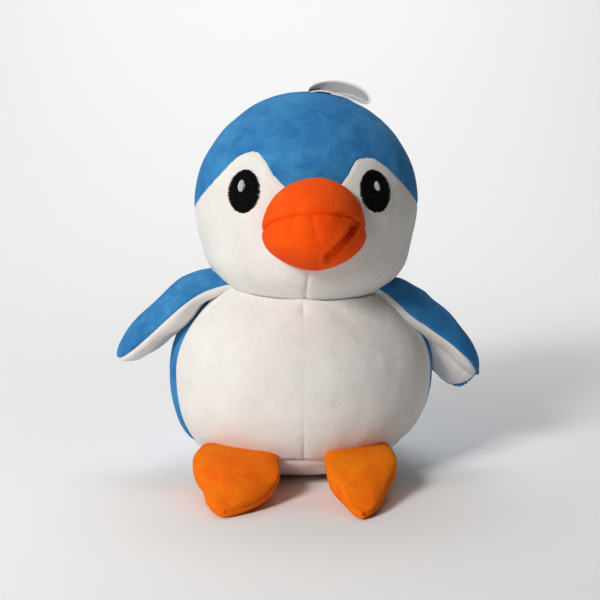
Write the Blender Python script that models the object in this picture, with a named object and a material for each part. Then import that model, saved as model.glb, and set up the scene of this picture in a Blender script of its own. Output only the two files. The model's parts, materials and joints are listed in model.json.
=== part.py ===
"""A stuffed plush penguin, about 25 cm tall, sitting on its base with its feet out in front.

Each fabric panel is a thin shell, each stuffed part holds its own filling, and neighbouring
pieces keep a small gap. +Z is up, the penguin faces -Y, and its left-named side is -X.
The origin is on the floor, in the middle of the flat base.
"""
from math import asin, atan2, cos, degrees, pi, radians, sin, sqrt

import bmesh
import bpy
from mathutils import Matrix, Vector

MM = 0.001
GAP = 0.3 * MM                    # between neighbouring pieces
LOOSE = 1.5 * MM                  # behind a panel and round the neck, where facets meet unevenly
FABRIC = 2.0 * MM                 # plush pile and backing together

# Body: an oval cushion with a flat underside.
BODY_HEIGHT = 64.0 * MM           # of its widest line above the floor
BODY_HALF_WIDTH = 85.5 * MM
BODY_HALF_FRONT = 78.0 * MM
BODY_HALF_BACK = 74.0 * MM
BODY_UP = 64.7 * MM               # from the widest line to the top, before the neck is hollowed
BODY_DOWN = 66.0 * MM             # more than its height, so the floor cuts a flat face
BODY_LOW_POWER = 2.7              # how square the lower half is
BASE_SEAM_ANGLE = radians(-36)    # where the base panel is sewn to the belly and back
BASE_SEAM_GAP = 0.8 * MM          # wider, because the facets on its two sides don't line up
SIDE_SEAM = radians(76)           # where the belly meets the back, from the front

# Head: a ball that leans a little to +X, round underneath so that it turns in the neck's hollow.
HEAD_LEAN = 3.9 * MM
PIVOT = Vector((HEAD_LEAN, 0, 162 * MM))
HEAD_UNDERSIDE = 67.0 * MM        # radius about the pivot
HEAD_HALF_WIDTH = 70.6 * MM
HEAD_UP = 68.0 * MM
HEAD_RISE = 10.0 * MM             # of the head's widest line above the pivot
HEAD_TURN = radians(1.8)
UNDERSIDE_TOP = radians(-30)      # the round underside reaches up to here
HEAD_SIDE_SEAM = radians(97)      # where the face and cap meet the back of the head
NECK_EDGE = radians(-47)          # the head's panels end here, in the neck's hollow
CROWN_EDGE = radians(88.4)        # and here at the top, where four of them meet
NECK_PLUG = radians(31)           # half angle of the stuffing in the neck
NECK_DEPTH = 8.0 * MM
# The cap's lower edge: angle from the nose, and height above the head's widest line.
CAP_EDGE = [(0, -4), (13, 13), (22, 23), (32, 31), (42, 29), (55, 16), (70, 2), (97, -9)]

# Beak: two panels that meet along an arched mouth.
BEAK_CENTRE_HEIGHT = 159.0 * MM   # of the mouth's corners
BEAK_HALF_WIDTH = 30.0 * MM
BEAK_RISE = 32.0 * MM
BEAK_DROP = 23.0 * MM
BEAK_LENGTH = 29.0 * MM
MOUTH_ANGLE = radians(28)

# Eyes: flat pads of thread, with a smaller white pad on each.
EYE_ANGLE = 34.0
EYE_HEIGHT = 182.6 * MM
EYE_HALF = (10.0 * MM, 13.0 * MM)
GLINT_HALF = (2.4 * MM, 3.7 * MM)
GLINT_SHIFT = (-1.0 * MM, 3.0 * MM)
THREAD = 0.8 * MM

# Wings: long pads that bend down from the shoulder seam.
WING_LENGTH = 76.0 * MM
WING_HALF_CHORD = 22.0 * MM
WING_UPPER = 12.5 * MM
WING_LOWER = 9.0 * MM
# Each wing's root (away from the middle), and its slope at the root and at the tip.
WINGS = {"left": {"side": -1, "root": Vector((56 * MM, -2 * MM, 118.5 * MM)),
                  "start": radians(-18), "end": radians(-54), "twist": radians(6)},
         "right": {"side": 1, "root": Vector((60 * MM, -2 * MM, 116.5 * MM)),
                   "start": radians(-26), "end": radians(-58), "twist": radians(24)}}

# Feet: flat-soled pads. Outline of the left foot, seen from above.
FOOT_OUTLINE = [(-63, -46), (-65, -60), (-61, -80), (-54, -96), (-44, -104), (-33, -102),
                (-22, -90), (-15, -72), (-17, -58), (-38, -46)]
FOOT_CENTRE = Vector((-39 * MM, -67 * MM, 0))
FOOT_SEAM = 7.0 * MM
FOOT_TOP = 21.0 * MM
FOOT_SLOPE = 0.17                 # fall of the top towards the toe
FOOT_CLEAR = 1.3 * MM             # between a foot and the belly, so that it can fold up

# Hanging loop: a ribbon sewn into the crown seam, lying over to +X.
RIBBON_WIDTH = 10.0 * MM
RIBBON = 0.8 * MM
LOOP_PATH = [(6.3, 241.5), (15, 240.4), (27, 237.6), (37, 233.4), (41.5, 231.7), (43.8, 233.0),
             (42.8, 236.6), (37, 242.2), (28, 246.3), (18, 247.2), (10, 245.4), (6.3, 242.9)]

BLUE = (0.045, 0.235, 0.540, 1)
WHITE = (0.800, 0.775, 0.750, 1)
ORANGE = (1.000, 0.170, 0.012, 1)
BLACK = (0.010, 0.010, 0.012, 1)
SATIN = (0.830, 0.830, 0.850, 1)
FILLING = (0.900, 0.900, 0.880, 1)


def mix(low, high, t):
    return low + (high - low) * t


def curve_value(points, at):
    """Smooth value at a place between a few points, flat slope carried over as a Catmull curve."""
    last = len(points) - 2
    i = max(k for k in range(last + 1) if k == 0 or points[k][0] <= at)
    x0, y0 = points[i]
    x1, y1 = points[i + 1]
    before = points[max(i - 1, 0)]
    after = points[min(i + 2, last + 1)]
    slope0 = (y1 - before[1]) / (x1 - before[0])
    slope1 = (after[1] - y0) / (after[0] - x0)
    t = (at - x0) / (x1 - x0)
    width = x1 - x0
    return ((2 * t**3 - 3 * t**2 + 1) * y0 + (t**3 - 2 * t**2 + t) * width * slope0
            + (3 * t**2 - 2 * t**3) * y1 + (t**3 - t**2) * width * slope1)


# ---- surfaces -------------------------------------------------------------------------------

def head_radius(lift):
    """The head's radius about its pivot, at an angle above the horizontal."""
    rim = atan2(HEAD_RISE, HEAD_HALF_WIDTH)
    if lift <= UNDERSIDE_TOP:
        return HEAD_UNDERSIDE
    if lift < rim:
        width = rim - UNDERSIDE_TOP
        t = (lift - UNDERSIDE_TOP) / width
        end = sqrt(HEAD_HALF_WIDTH**2 + HEAD_RISE**2)
        slope = end * HEAD_RISE / HEAD_HALF_WIDTH
        return (mix(HEAD_UNDERSIDE, end, 3 * t**2 - 2 * t**3) + (t**3 - t**2) * width * slope)
    a = (cos(lift) / HEAD_HALF_WIDTH)**2 + (sin(lift) / HEAD_UP)**2
    b = -2 * sin(lift) * HEAD_RISE / HEAD_UP**2
    c = (HEAD_RISE / HEAD_UP)**2 - 1
    return (-b + sqrt(b * b - 4 * a * c)) / (2 * a)


def head_point(turn, lift, depth=0.0):
    """A point on the head: turn from the nose towards +X, lift above the horizontal."""
    radius = head_radius(lift) - depth
    turn += HEAD_TURN
    return PIVOT + radius * Vector((cos(lift) * sin(turn), -cos(lift) * cos(turn), sin(lift)))


def head_lift(height):
    """The lift angle at which the head's surface reaches a height above the floor."""
    low, high = NECK_EDGE, pi / 2
    for _ in range(30):
        middle = (low + high) / 2
        if PIVOT.z + head_radius(middle) * sin(middle) < height:
            low = middle
        else:
            high = middle
    return low


def power(value, exponent):
    return max(value, 0.0)**exponent


def body_point(turn, lift, depth=0.0):
    """A point on the body: turn from the front towards +X, lift from -90 to 90 degrees."""
    exponent = 1.0 if lift > 0 else 2 / BODY_LOW_POWER
    tall = (BODY_UP if lift > 0 else BODY_DOWN) - depth
    deep = (BODY_HALF_FRONT if cos(turn) > 0 else BODY_HALF_BACK) - depth
    ring = power(cos(lift), exponent)
    rise = tall * power(abs(sin(lift)), exponent) * (1 if lift > 0 else -1)
    x = (BODY_HALF_WIDTH - depth) * ring * sin(turn)
    y = -deep * ring * cos(turn)
    return Vector((x, y, max(BODY_HEIGHT + rise, depth)))


def neck_rim(turn, depth):
    """The lift angle at which the body's surface meets the neck's hollow."""
    low, high = radians(20), radians(85)
    for _ in range(30):
        middle = (low + high) / 2
        if (body_point(turn, middle, depth) - PIVOT).length > HEAD_UNDERSIDE + LOOSE:
            low = middle
        else:
            high = middle
    return low


# ---- building blocks ------------------------------------------------------------------------

def material(name, colour, roughness):
    """One plain material of a given colour."""
    made = bpy.data.materials.new(name)
    made.use_nodes = True
    shader = made.node_tree.nodes["Principled BSDF"]
    shader.inputs["Base Color"].default_value = colour
    shader.inputs["Roughness"].default_value = roughness
    shader.inputs["Metallic"].default_value = 0.0
    return made


def add_object(name, bm, colour, roughness=0.9):
    """Turn a bmesh into a named, smooth-shaded object with a material of its own."""
    bmesh.ops.recalc_face_normals(bm, faces=bm.faces)
    mesh = bpy.data.meshes.new(name)
    bm.to_mesh(mesh)
    bm.free()
    mesh.shade_smooth()
    mesh.set_sharp_from_angle(angle=radians(40))
    mesh.materials.append(material(name, colour, roughness))
    made = bpy.data.objects.new(name, mesh)
    bpy.context.scene.collection.objects.link(made)
    return made


def grid(columns, rows):
    """A flat grid whose vertices carry their place across (u) and up (v), each from 0 to 1."""
    bm = bmesh.new()
    u_layer = bm.verts.layers.float.new("u")
    v_layer = bm.verts.layers.float.new("v")
    bmesh.ops.create_grid(bm, x_segments=columns, y_segments=rows, size=0.5)
    for vert in bm.verts:
        vert[u_layer] = vert.co.x + 0.5
        vert[v_layer] = vert.co.y + 0.5
    return bm, u_layer, v_layer


def panel(name, colour, columns, rows, surface, roughness=0.9):
    """A sewn panel: surface(u, v, layer) gives its outside (layer 0) and its inside (layer 1)."""
    bm, across, up = grid(columns, rows)
    for vert in bm.verts:
        vert.co = surface(vert[across], vert[up], 0)
    bmesh.ops.remove_doubles(bm, verts=bm.verts, dist=0.002 * MM)
    outside = bm.verts[:]
    rim = [edge for edge in bm.edges if edge.is_boundary]
    copy = bmesh.ops.duplicate(bm, geom=bm.verts[:] + bm.edges[:] + bm.faces[:])
    twin = copy["vert_map"]
    for vert in outside:
        twin[vert].co = surface(vert[across], vert[up], 1)
    for edge in rim:
        first, second = edge.verts
        bm.faces.new((first, second, twin[second], twin[first]))
    return add_object(name, bm, colour, roughness)


def stuffing(name, columns, rows, surface):
    """A closed filling: surface(u, v) runs once round in u, and from one pole to the other in v."""
    bm, across, up = grid(columns, rows)
    for vert in bm.verts:
        vert.co = surface(vert[across], vert[up])
    bmesh.ops.remove_doubles(bm, verts=bm.verts, dist=0.002 * MM)
    return add_object(name, bm, FILLING, 0.95)


def spread(low, high, u, radius):
    """An angle between two seams, keeping half a gap clear of each."""
    clear = GAP / 2 / max(radius, MM)
    return mix(low + clear, high - clear, u)


# ---- body -----------------------------------------------------------------------------------

def body_panel(name, colour, low, high):
    """One panel of the body's side, from the base seam up to the neck."""
    def surface(u, v, layer):
        depth = FABRIC * layer
        start = BASE_SEAM_ANGLE + BASE_SEAM_GAP / 2 / BODY_DOWN
        turn = spread(low, high, u, 50 * MM)
        return body_point(turn, mix(start, neck_rim(turn, depth), v), depth)
    return panel(name, colour, 8, 8, surface)


def base_panel():
    """The round base, flat where it stands."""
    def surface(u, v, layer):
        end = BASE_SEAM_ANGLE - BASE_SEAM_GAP / 2 / BODY_DOWN
        return body_point(mix(-pi, pi, u), mix(-pi / 2, end, v), FABRIC * layer)
    return panel("base_panel", WHITE, 24, 5, surface)


def body_filling():
    """The body's stuffing, with the round hollow that the head sits in."""
    depth = FABRIC + LOOSE
    wall = 0.65

    def surface(u, v):
        turn = mix(-pi, pi, u)
        top = neck_rim(turn, depth)
        if v <= wall:
            return body_point(turn, mix(-pi / 2, top, v / wall), depth)
        rim = body_point(turn, top, depth) - PIVOT
        bowl = Vector((0, 0, -(HEAD_UNDERSIDE + LOOSE)))
        part = (v - wall) / (1 - wall)
        return PIVOT + rim.slerp(bowl, part * part).normalized() * (HEAD_UNDERSIDE + LOOSE)
    return stuffing("body_filling", 24, 20, surface)


def closing_stitches():
    """The zigzag thread that closes the back seam after stuffing, as one bent wire."""
    count = 9
    half = 1.6 * MM
    low, high = radians(-12), radians(22)
    curve = bpy.data.curves.new("closing_stitches", "CURVE")
    curve.dimensions = "3D"
    curve.bevel_depth = 0.35 * MM
    curve.bevel_resolution = 1
    curve.use_fill_caps = True
    spline = curve.splines.new("POLY")
    spline.points.add(count)
    for i in range(count + 1):
        side = half if i % 2 else -half
        place = body_point(pi + side / BODY_HALF_BACK, mix(low, high, i / count), -(GAP + 0.6 * MM))
        spline.points[i].co = (*place, 1)
    curve.materials.append(material("closing_stitches", WHITE, 0.6))
    made = bpy.data.objects.new("closing_stitches", curve)
    bpy.context.scene.collection.objects.link(made)


def make_body():
    body_panel("belly_left", WHITE, -SIDE_SEAM, 0)
    body_panel("belly_right", WHITE, 0, SIDE_SEAM)
    body_panel("back_left", BLUE, -pi, -SIDE_SEAM)
    body_panel("back_right", BLUE, SIDE_SEAM, pi)
    base_panel()
    body_filling()
    closing_stitches()


# ---- head -----------------------------------------------------------------------------------

def cap_lift(turn):
    """The lift angle of the seam between the face and the cap."""
    height = PIVOT.z + HEAD_RISE + MM * curve_value(CAP_EDGE, degrees(abs(turn)))
    return head_lift(height)


def head_panel(name, colour, low, high, bottom, top, columns, rows):
    """One panel of the head, between two seams and between two heights."""
    def surface(u, v, layer):
        lift = mix(bottom(mix(low, high, u)), top(mix(low, high, u)), v)
        turn = spread(low, high, u, HEAD_HALF_WIDTH * cos(lift))
        clear = GAP / 2 / HEAD_HALF_WIDTH
        lift = mix(bottom(turn) + clear, top(turn) - clear, v)
        return head_point(turn, lift, FABRIC * layer)
    return panel(name, colour, columns, rows, surface)


def head_filling():
    """The head's stuffing, raised inside the neck opening where the neck's own stuffing is."""
    def surface(u, v):
        lift = mix(-pi / 2, pi / 2, v)
        depth = FABRIC + LOOSE
        if lift < NECK_EDGE:
            depth = NECK_DEPTH + LOOSE
        return head_point(mix(-pi, pi, u), lift, depth)
    return stuffing("head_filling", 22, 14, surface)


def neck_filling():
    """The stuffing that fills the neck, round above and below about the head's pivot."""
    def surface(u, v):
        below = v <= 0.5
        reach = NECK_PLUG * (2 * v if below else 2 - 2 * v)
        radius = HEAD_UNDERSIDE - (0 if below else NECK_DEPTH)
        turn = mix(-pi, pi, u)
        return PIVOT + radius * Vector((sin(reach) * sin(turn), sin(reach) * cos(turn), -cos(reach)))
    return stuffing("neck_filling", 16, 7, surface)


def eye(side_name, side, tilt):
    """An oval of black thread on the face, with its white glint on top."""
    turn = radians(side * EYE_ANGLE) - HEAD_TURN
    scale = HEAD_HALF_WIDTH * cos(head_lift(EYE_HEIGHT))

    def oval(half, shift, stand, u, v, layer):
        angle = 2 * pi * u
        x = shift[0] + half[0] * v * cos(angle)
        z = shift[1] + half[1] * v * sin(angle)
        across = x * cos(tilt) + z * sin(tilt)
        up = z * cos(tilt) - x * sin(tilt)
        lift = head_lift(EYE_HEIGHT + up * 0.97)
        return head_point(turn + across / scale, lift, -(stand + THREAD * (1 - layer)))

    panel("eye_" + side_name, BLACK, 16, 2,
          lambda u, v, layer: oval(EYE_HALF, (0, 0), GAP, u, v, layer), 0.7)
    panel("eye_" + side_name + "_highlight", WHITE, 12, 1,
          lambda u, v, layer: oval(GLINT_HALF, GLINT_SHIFT, 2 * GAP + THREAD, u, v, layer), 0.7)


def beak_point(s, t, depth, least=0.0):
    """A point on the beak: s runs from one mouth corner to the other, t from bottom to top."""
    tall = (BEAK_RISE if t > 0 else BEAK_DROP) - depth
    x = (BEAK_HALF_WIDTH - depth) * cos(s)
    z = BEAK_CENTRE_HEIGHT + tall * sin(s) * sin(t)
    out = (BEAK_LENGTH - depth) * sin(s) * cos(t)
    return on_face(x, z, max(out, least))


def on_face(x, z, out):
    """A point that stands out from the face by a distance, at a place across and up."""
    lift = head_lift(z)
    radius = head_radius(lift)
    turn = asin(max(-1, min(1, x / (radius * cos(lift)))))
    place = head_point(turn, lift, -2 * GAP)
    nose = Vector((sin(HEAD_TURN), -cos(HEAD_TURN), 0))
    return place + nose * out


def make_beak():
    clear = GAP / 2 / BEAK_RISE

    def half(low, high):
        def surface(u, v, layer):
            return beak_point(pi * u, mix(low + clear, high - clear, v), FABRIC * layer)
        return surface

    panel("beak_upper", ORANGE, 12, 4, half(MOUTH_ANGLE, pi / 2))
    panel("beak_lower", ORANGE, 12, 7, half(-pi / 2, MOUTH_ANGLE))

    def inside(u, v, layer):
        depth = FABRIC + LOOSE
        front = beak_point(pi * u, mix(-pi / 2, pi / 2, v), depth, least=1.0 * MM)
        if layer:
            return on_face((BEAK_HALF_WIDTH - depth) * cos(pi * u), front.z, 0)
        return front
    panel("beak_filling", FILLING, 10, 8, inside, 0.95)


def make_head():
    def neck(turn):
        return NECK_EDGE

    def crown(turn):
        return CROWN_EDGE

    head_panel("face_left", WHITE, -HEAD_SIDE_SEAM, 0, neck, cap_lift, 9, 7)
    head_panel("face_right", WHITE, 0, HEAD_SIDE_SEAM, neck, cap_lift, 9, 7)
    head_panel("forehead_cap", BLUE, -HEAD_SIDE_SEAM, HEAD_SIDE_SEAM, cap_lift, crown, 18, 8)
    head_panel("head_back_left", BLUE, -pi, -HEAD_SIDE_SEAM, neck, crown, 7, 10)
    head_panel("head_back_right", BLUE, HEAD_SIDE_SEAM, pi, neck, crown, 7, 10)
    head_filling()
    neck_filling()
    eye("left", -1, radians(-2))
    eye("right", 1, radians(-14))
    make_beak()


def hanging_loop():
    """A ribbon loop standing in the XZ plane, as wide along Y as the ribbon."""
    knots = [Vector((x * MM, 0, z * MM)) for x, z in LOOP_PATH]
    steps = 3
    route = []
    for i in range(len(knots) - 1):
        before = knots[max(i - 1, 0)]
        after = knots[min(i + 2, len(knots) - 1)]
        for k in range(steps):
            t = k / steps
            first = 2 * knots[i] + (knots[i + 1] - before) * t
            second = (2 * before - 5 * knots[i] + 4 * knots[i + 1] - after) * t**2
            third = (3 * knots[i] - before - 3 * knots[i + 1] + after) * t**3
            route.append((first + second + third) / 2)
    route.append(knots[-1])

    def surface(u, v, layer):
        i = round(u * (len(route) - 1))
        along = (route[min(i + 1, len(route) - 1)] - route[max(i - 1, 0)]).normalized()
        across = Vector((-along.z, 0, along.x)) * (RIBBON * (0.5 - layer))
        return route[i] + across + Vector((0, RIBBON_WIDTH * (v - 0.5), 0))
    return panel("hanging_loop", SATIN, len(route) - 1, 1, surface, 0.4)


# ---- wings ----------------------------------------------------------------------------------

def wing_point(shape, s, around, depth):
    """A point on a wing: s runs from root to tip, around goes once round its section."""
    along = s * (WING_LENGTH - depth) / WING_LENGTH
    start = shape["start"]
    bend = shape["end"] - start
    angle = start + bend * along
    arc = WING_LENGTH / bend
    centre = shape["root"] + Vector((arc * (sin(angle) - sin(start)), 0,
                                     arc * (cos(start) - cos(angle))))
    forward = Vector((cos(angle), 0, sin(angle)))
    twist = Matrix.Rotation(shape["twist"] * along, 3, forward)
    chord = twist @ Vector((0, 1, 0))
    up = twist @ Vector((-sin(angle), 0, cos(angle)))
    swell = sin(pi / 2 * min(s / 0.5, 1))
    tip = sqrt(max(0.0, 1 - (max(s - 0.72, 0) / 0.28)**2))
    wide = mix(0.76, 1, swell) * tip * (WING_HALF_CHORD - depth)
    thick = WING_UPPER if sin(around) > 0 else WING_LOWER
    thick = max(mix(0.36, 1, swell) * thick - depth, 0.2 * MM) * tip
    place = centre + chord * wide * cos(around) + up * thick * sin(around)
    place.x *= shape["side"]
    return place


def make_wing(name, shape):
    clear = GAP / 2 / (WING_UPPER * 0.36)

    def half(low, high):
        def surface(u, v, layer):
            around = mix(low + clear, high - clear, v)
            return wing_point(shape, sin(pi / 2 * u), around, FABRIC * layer)
        return surface

    panel(name + "_outer", BLUE, 10, 8, half(0, pi))
    panel(name + "_inner", WHITE, 10, 8, half(pi, 2 * pi))

    start = 0.06
    lid = 0.08
    depth = FABRIC + LOOSE

    def inside(u, v):
        if v < lid:
            sides = [wing_point(shape, start, around, depth) for around in (0, pi)]
            return mix((sides[0] + sides[1]) / 2, wing_point(shape, start, 2 * pi * u, depth), v / lid)
        s = mix(start, 1, sin(pi / 2 * (v - lid) / (1 - lid)))
        return wing_point(shape, s, 2 * pi * u, depth)
    stuffing(name + "_filling", 12, 10, inside)


# ---- feet -----------------------------------------------------------------------------------

def foot_radius(angle):
    """Distance from the foot's centre to its outline, at an angle seen from above."""
    ring = []
    for x, y in FOOT_OUTLINE:
        place = Vector((x * MM, y * MM, 0)) - FOOT_CENTRE
        ring.append((atan2(place.y, place.x) % (2 * pi), place.length))
    ring.sort()
    around = ([(a - 2 * pi, r) for a, r in ring[-2:]] + ring + [(a + 2 * pi, r) for a, r in ring[:2]])
    return curve_value(around, angle % (2 * pi))


def foot_point(angle, t, top, depth):
    """A point on the left foot: t is 0 in the middle and 1 at the seam round its edge."""
    radius = (foot_radius(angle) - depth) * t
    place = FOOT_CENTRE + radius * Vector((cos(angle), sin(angle), 0))
    fall = FOOT_SLOPE * (FOOT_CENTRE.y - place.y)
    crown = FOOT_TOP - FOOT_SEAM - fall - depth
    lift = crown * sqrt(max(0.0, 1 - t**3))
    drop = (FOOT_SEAM - depth) * (1 - t**6)
    place.z = FOOT_SEAM + lift if top else FOOT_SEAM - drop
    return place


def make_foot(name, side):
    """A foot's two panels and filling, each hollowed behind to clear the body."""
    clear = GAP / 2

    def shell(top):
        def surface(u, v, layer):
            place = foot_point(2 * pi * u, sin(pi / 2 * v), top, FABRIC * layer)
            place.z += clear if top else 0
            place.z = max(place.z, 0) if top else min(place.z, FOOT_SEAM - clear)
            place.x *= -side
            return place
        return surface

    pieces = [panel(name + "_top", ORANGE, 18, 5, shell(True)),
              panel(name + "_sole", ORANGE, 18, 5, shell(False))]

    def inside(u, v):
        top = v > 0.5
        t = sin(pi * v) if v not in (0, 1) else 0
        place = foot_point(2 * pi * u, t, top, FABRIC + LOOSE)
        place.x *= -side
        return place
    pieces.append(stuffing(name + "_filling", 18, 10, inside))
    for piece in pieces:
        cut = piece.modifiers.new("clear_of_body", "BOOLEAN")
        cut.operation = "DIFFERENCE"
        cut.object = body_cutter()


def body_cutter():
    """A guide solid: the body's outside, a little larger. It is made once."""
    if "body_cutter" in bpy.data.objects:
        return bpy.data.objects["body_cutter"]
    bm, across, up = grid(32, 20)
    for vert in bm.verts:
        vert.co = body_point(mix(-pi, pi, vert[across]), mix(-pi / 2, pi / 2, vert[up]), -FOOT_CLEAR)
        if vert.co.z < GAP:
            vert.co.z = -5 * MM
    bmesh.ops.remove_doubles(bm, verts=bm.verts, dist=0.002 * MM)
    cutter = add_object("body_cutter", bm, WHITE)
    cutter.hide_render = True
    cutter.display_type = "WIRE"
    return cutter


def main():
    for old in list(bpy.data.objects):
        bpy.data.objects.remove(old, do_unlink=True)
    make_body()
    make_head()
    hanging_loop()
    for name, shape in WINGS.items():
        make_wing("wing_" + name, shape)
    make_foot("foot_left", -1)
    make_foot("foot_right", 1)


main()
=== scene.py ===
# %% [markdown]
# # A stuffed plush penguin
#
# The CAD model says how big every sewn part is and how it moves. This lesson gives the same
# parts their cloth: short brushed plush with seams that pull in, stuffed wings and feet that
# are blown up by a cloth simulation, embroidered eyes, and a satin hanging loop.
# Everything is in metres, with +Z up and the penguin facing -Y.

# %% Load the frame
import json
from math import asin, atan2, cos, pi, radians, sin, sqrt

import bmesh
import bpy
import numpy as np
from mathutils import Matrix, Vector


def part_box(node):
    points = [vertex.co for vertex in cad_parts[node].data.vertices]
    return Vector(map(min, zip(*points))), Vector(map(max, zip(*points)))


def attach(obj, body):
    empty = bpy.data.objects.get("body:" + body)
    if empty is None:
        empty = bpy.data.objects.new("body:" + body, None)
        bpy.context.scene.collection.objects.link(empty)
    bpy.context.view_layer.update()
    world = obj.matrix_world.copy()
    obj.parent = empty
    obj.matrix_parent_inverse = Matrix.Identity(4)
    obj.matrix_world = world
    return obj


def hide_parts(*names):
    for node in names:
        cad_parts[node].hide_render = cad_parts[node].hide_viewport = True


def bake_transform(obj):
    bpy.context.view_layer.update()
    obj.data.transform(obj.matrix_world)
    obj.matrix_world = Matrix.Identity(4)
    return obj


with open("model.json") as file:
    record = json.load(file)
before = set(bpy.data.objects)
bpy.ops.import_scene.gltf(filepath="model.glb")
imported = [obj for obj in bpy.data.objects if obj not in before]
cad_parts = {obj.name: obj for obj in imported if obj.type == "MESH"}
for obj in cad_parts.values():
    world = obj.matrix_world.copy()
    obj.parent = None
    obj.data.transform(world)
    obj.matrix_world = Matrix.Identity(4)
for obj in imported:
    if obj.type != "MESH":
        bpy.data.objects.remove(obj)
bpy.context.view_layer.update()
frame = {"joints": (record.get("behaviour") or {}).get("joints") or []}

MM = 0.001
joint = {entry["name"]: entry for entry in frame["joints"]}

# %% [markdown]
# ## Camera, light and floor
#
# The camera looks at the toy from a little above, with a long lens. The light comes from a
# soft box at the upper left, so the far side falls into a gentle shade, and a
# pale sweep of paper is both floor and background. The sweep is a plane whose back edge is
# pulled up and rounded with a bevel, which is how a real paper sweep hangs.

# %% Camera
CAMERA_TARGET = Vector((-0.0006, 0, 0.1072))
CAMERA_DISTANCE = 0.80
CAMERA_TURN = radians(-1.5)
CAMERA_RISE = radians(10)

camera_data = bpy.data.cameras.new("camera")
camera_data.lens = 74.2
camera_data.sensor_width = 36
camera = bpy.data.objects.new("camera", camera_data)
bpy.context.scene.collection.objects.link(camera)
backwards = Vector((sin(CAMERA_TURN) * cos(CAMERA_RISE), -cos(CAMERA_TURN) * cos(CAMERA_RISE),
                    sin(CAMERA_RISE)))
camera.location = CAMERA_TARGET + backwards * CAMERA_DISTANCE
camera.rotation_euler = backwards.to_track_quat("Z", "Y").to_euler()
bpy.context.scene.camera = camera


def lamp(name, place, aim, size, watts, colour):
    """A square soft box that looks at a point."""
    data = bpy.data.lights.new(name, "AREA")
    data.size = size
    data.energy = watts
    data.color = colour
    light = bpy.data.objects.new(name, data)
    bpy.context.scene.collection.objects.link(light)
    light.location = place
    light.rotation_euler = (Vector(place) - Vector(aim)).to_track_quat("Z", "Y").to_euler()


lamp("key", (-0.80, -0.98, 0.84), (0, 0, 0.12), 0.38, 17.5, (1.0, 0.975, 0.945))
lamp("fill", (-0.1, -1.5, 0.5), (0, 0, 0.1), 0.9, 0.15, (1.0, 0.99, 0.98))
lamp("backdrop", (0, 0.8, 1.8), (0, 2.0, 0.5), 1.6, 27, (1.0, 1.0, 1.0))
world = bpy.data.worlds.new("studio")
bpy.context.scene.world = world
world.use_nodes = True
world.node_tree.nodes["Background"].inputs["Color"].default_value = (1.0, 0.99, 0.98, 1)
world.node_tree.nodes["Background"].inputs["Strength"].default_value = 0.035
bpy.context.scene.view_settings.view_transform = "Standard"
print("camera at", tuple(round(c, 3) for c in camera.location))


# %% Paper sweep
def deselect():
    """Nothing is selected, so that the next operator acts on its own object only."""
    if bpy.context.object and bpy.context.object.mode != "OBJECT":
        bpy.ops.object.mode_set(mode="OBJECT")
    bpy.ops.object.select_all(action="DESELECT")


def pick(obj):
    """Make one object the selected and the active one."""
    deselect()
    bpy.context.view_layer.objects.active = obj
    obj.select_set(True)


def face_out(obj):
    """Turn all faces outwards and shade them smooth."""
    pick(obj)
    bpy.ops.object.mode_set(mode="EDIT")
    bpy.ops.mesh.select_all(action="SELECT")
    bpy.ops.mesh.normals_make_consistent(inside=False)
    bpy.ops.object.mode_set(mode="OBJECT")
    bpy.ops.object.shade_smooth()


def new_material(name):
    """A material with nodes, its tree and its shader."""
    made = bpy.data.materials.new(name)
    made.use_nodes = True
    return made, made.node_tree, made.node_tree.nodes["Principled BSDF"]


deselect()
bpy.ops.mesh.primitive_plane_add(size=6, location=(0, -1.2, -0.0002))
sweep = bpy.context.object
sweep.name = "paper_sweep"
bpy.ops.object.transform_apply(location=True, rotation=True, scale=True)
bpy.ops.object.mode_set(mode="EDIT")
bpy.ops.mesh.select_all(action="DESELECT")
bpy.ops.object.mode_set(mode="OBJECT")
for edge in sweep.data.edges:
    edge.select = all(sweep.data.vertices[v].co.y > 1 for v in edge.vertices)
bpy.ops.object.mode_set(mode="EDIT")
bpy.ops.mesh.select_mode(type="EDGE")
bpy.ops.mesh.extrude_region_move(TRANSFORM_OT_translate={"value": (0, 0, 3.5)})
bpy.ops.object.mode_set(mode="OBJECT")
for edge in sweep.data.edges:
    places = [sweep.data.vertices[v].co for v in edge.vertices]
    edge.select = all(p.y > 1 and p.z < 0.1 for p in places)
bpy.ops.object.mode_set(mode="EDIT")
bpy.ops.mesh.bevel(offset=1.0, segments=24)
bpy.ops.object.mode_set(mode="OBJECT")
bpy.ops.object.shade_smooth()
paper, tree, shader = new_material("paper")
shader.inputs["Base Color"].default_value = (0.85, 0.855, 0.86, 1)
shader.inputs["Roughness"].default_value = 0.8
sweep.data.materials.append(paper)
print("sweep faces:", len(sweep.data.polygons))

# %% [markdown]
# ## Plush
#
# Plush is a knitted backing with a short pile brushed one way. Where a hand has stroked it
# back, patches look lighter or deeper, and close up the tips of the pile make a fine grain.
# Both come from noise in Object coordinates, so they stay on the cloth when it moves. The
# noise is one node group that every plush colour uses, and the sheen of fine fibres is the
# shader's own.

# %% Node group for the brushed pile
def new_node(tree, kind, **values):
    """A node with some of its properties and unlinked inputs set."""
    node = tree.nodes.new(kind)
    for key, value in values.items():
        if key in node.inputs:
            node.inputs[key].default_value = value
        else:
            setattr(node, key, value)
    return node


def sum_node(tree, operation, second):
    """A math node with its second number."""
    node = new_node(tree, "ShaderNodeMath", operation=operation)
    node.inputs[1].default_value = second
    return node


def colours(sockets):
    """The colour sockets among a node's inputs or outputs."""
    return [socket for socket in sockets if socket.type == "RGBA"]


def relieve(tree, shader, height, strength, distance):
    """Let a texture's value raise and sink the surface a little."""
    bump = new_node(tree, "ShaderNodeBump", Strength=strength, Distance=distance)
    tree.links.new(height, bump.inputs["Height"])
    tree.links.new(bump.outputs["Normal"], shader.inputs["Normal"])


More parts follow.
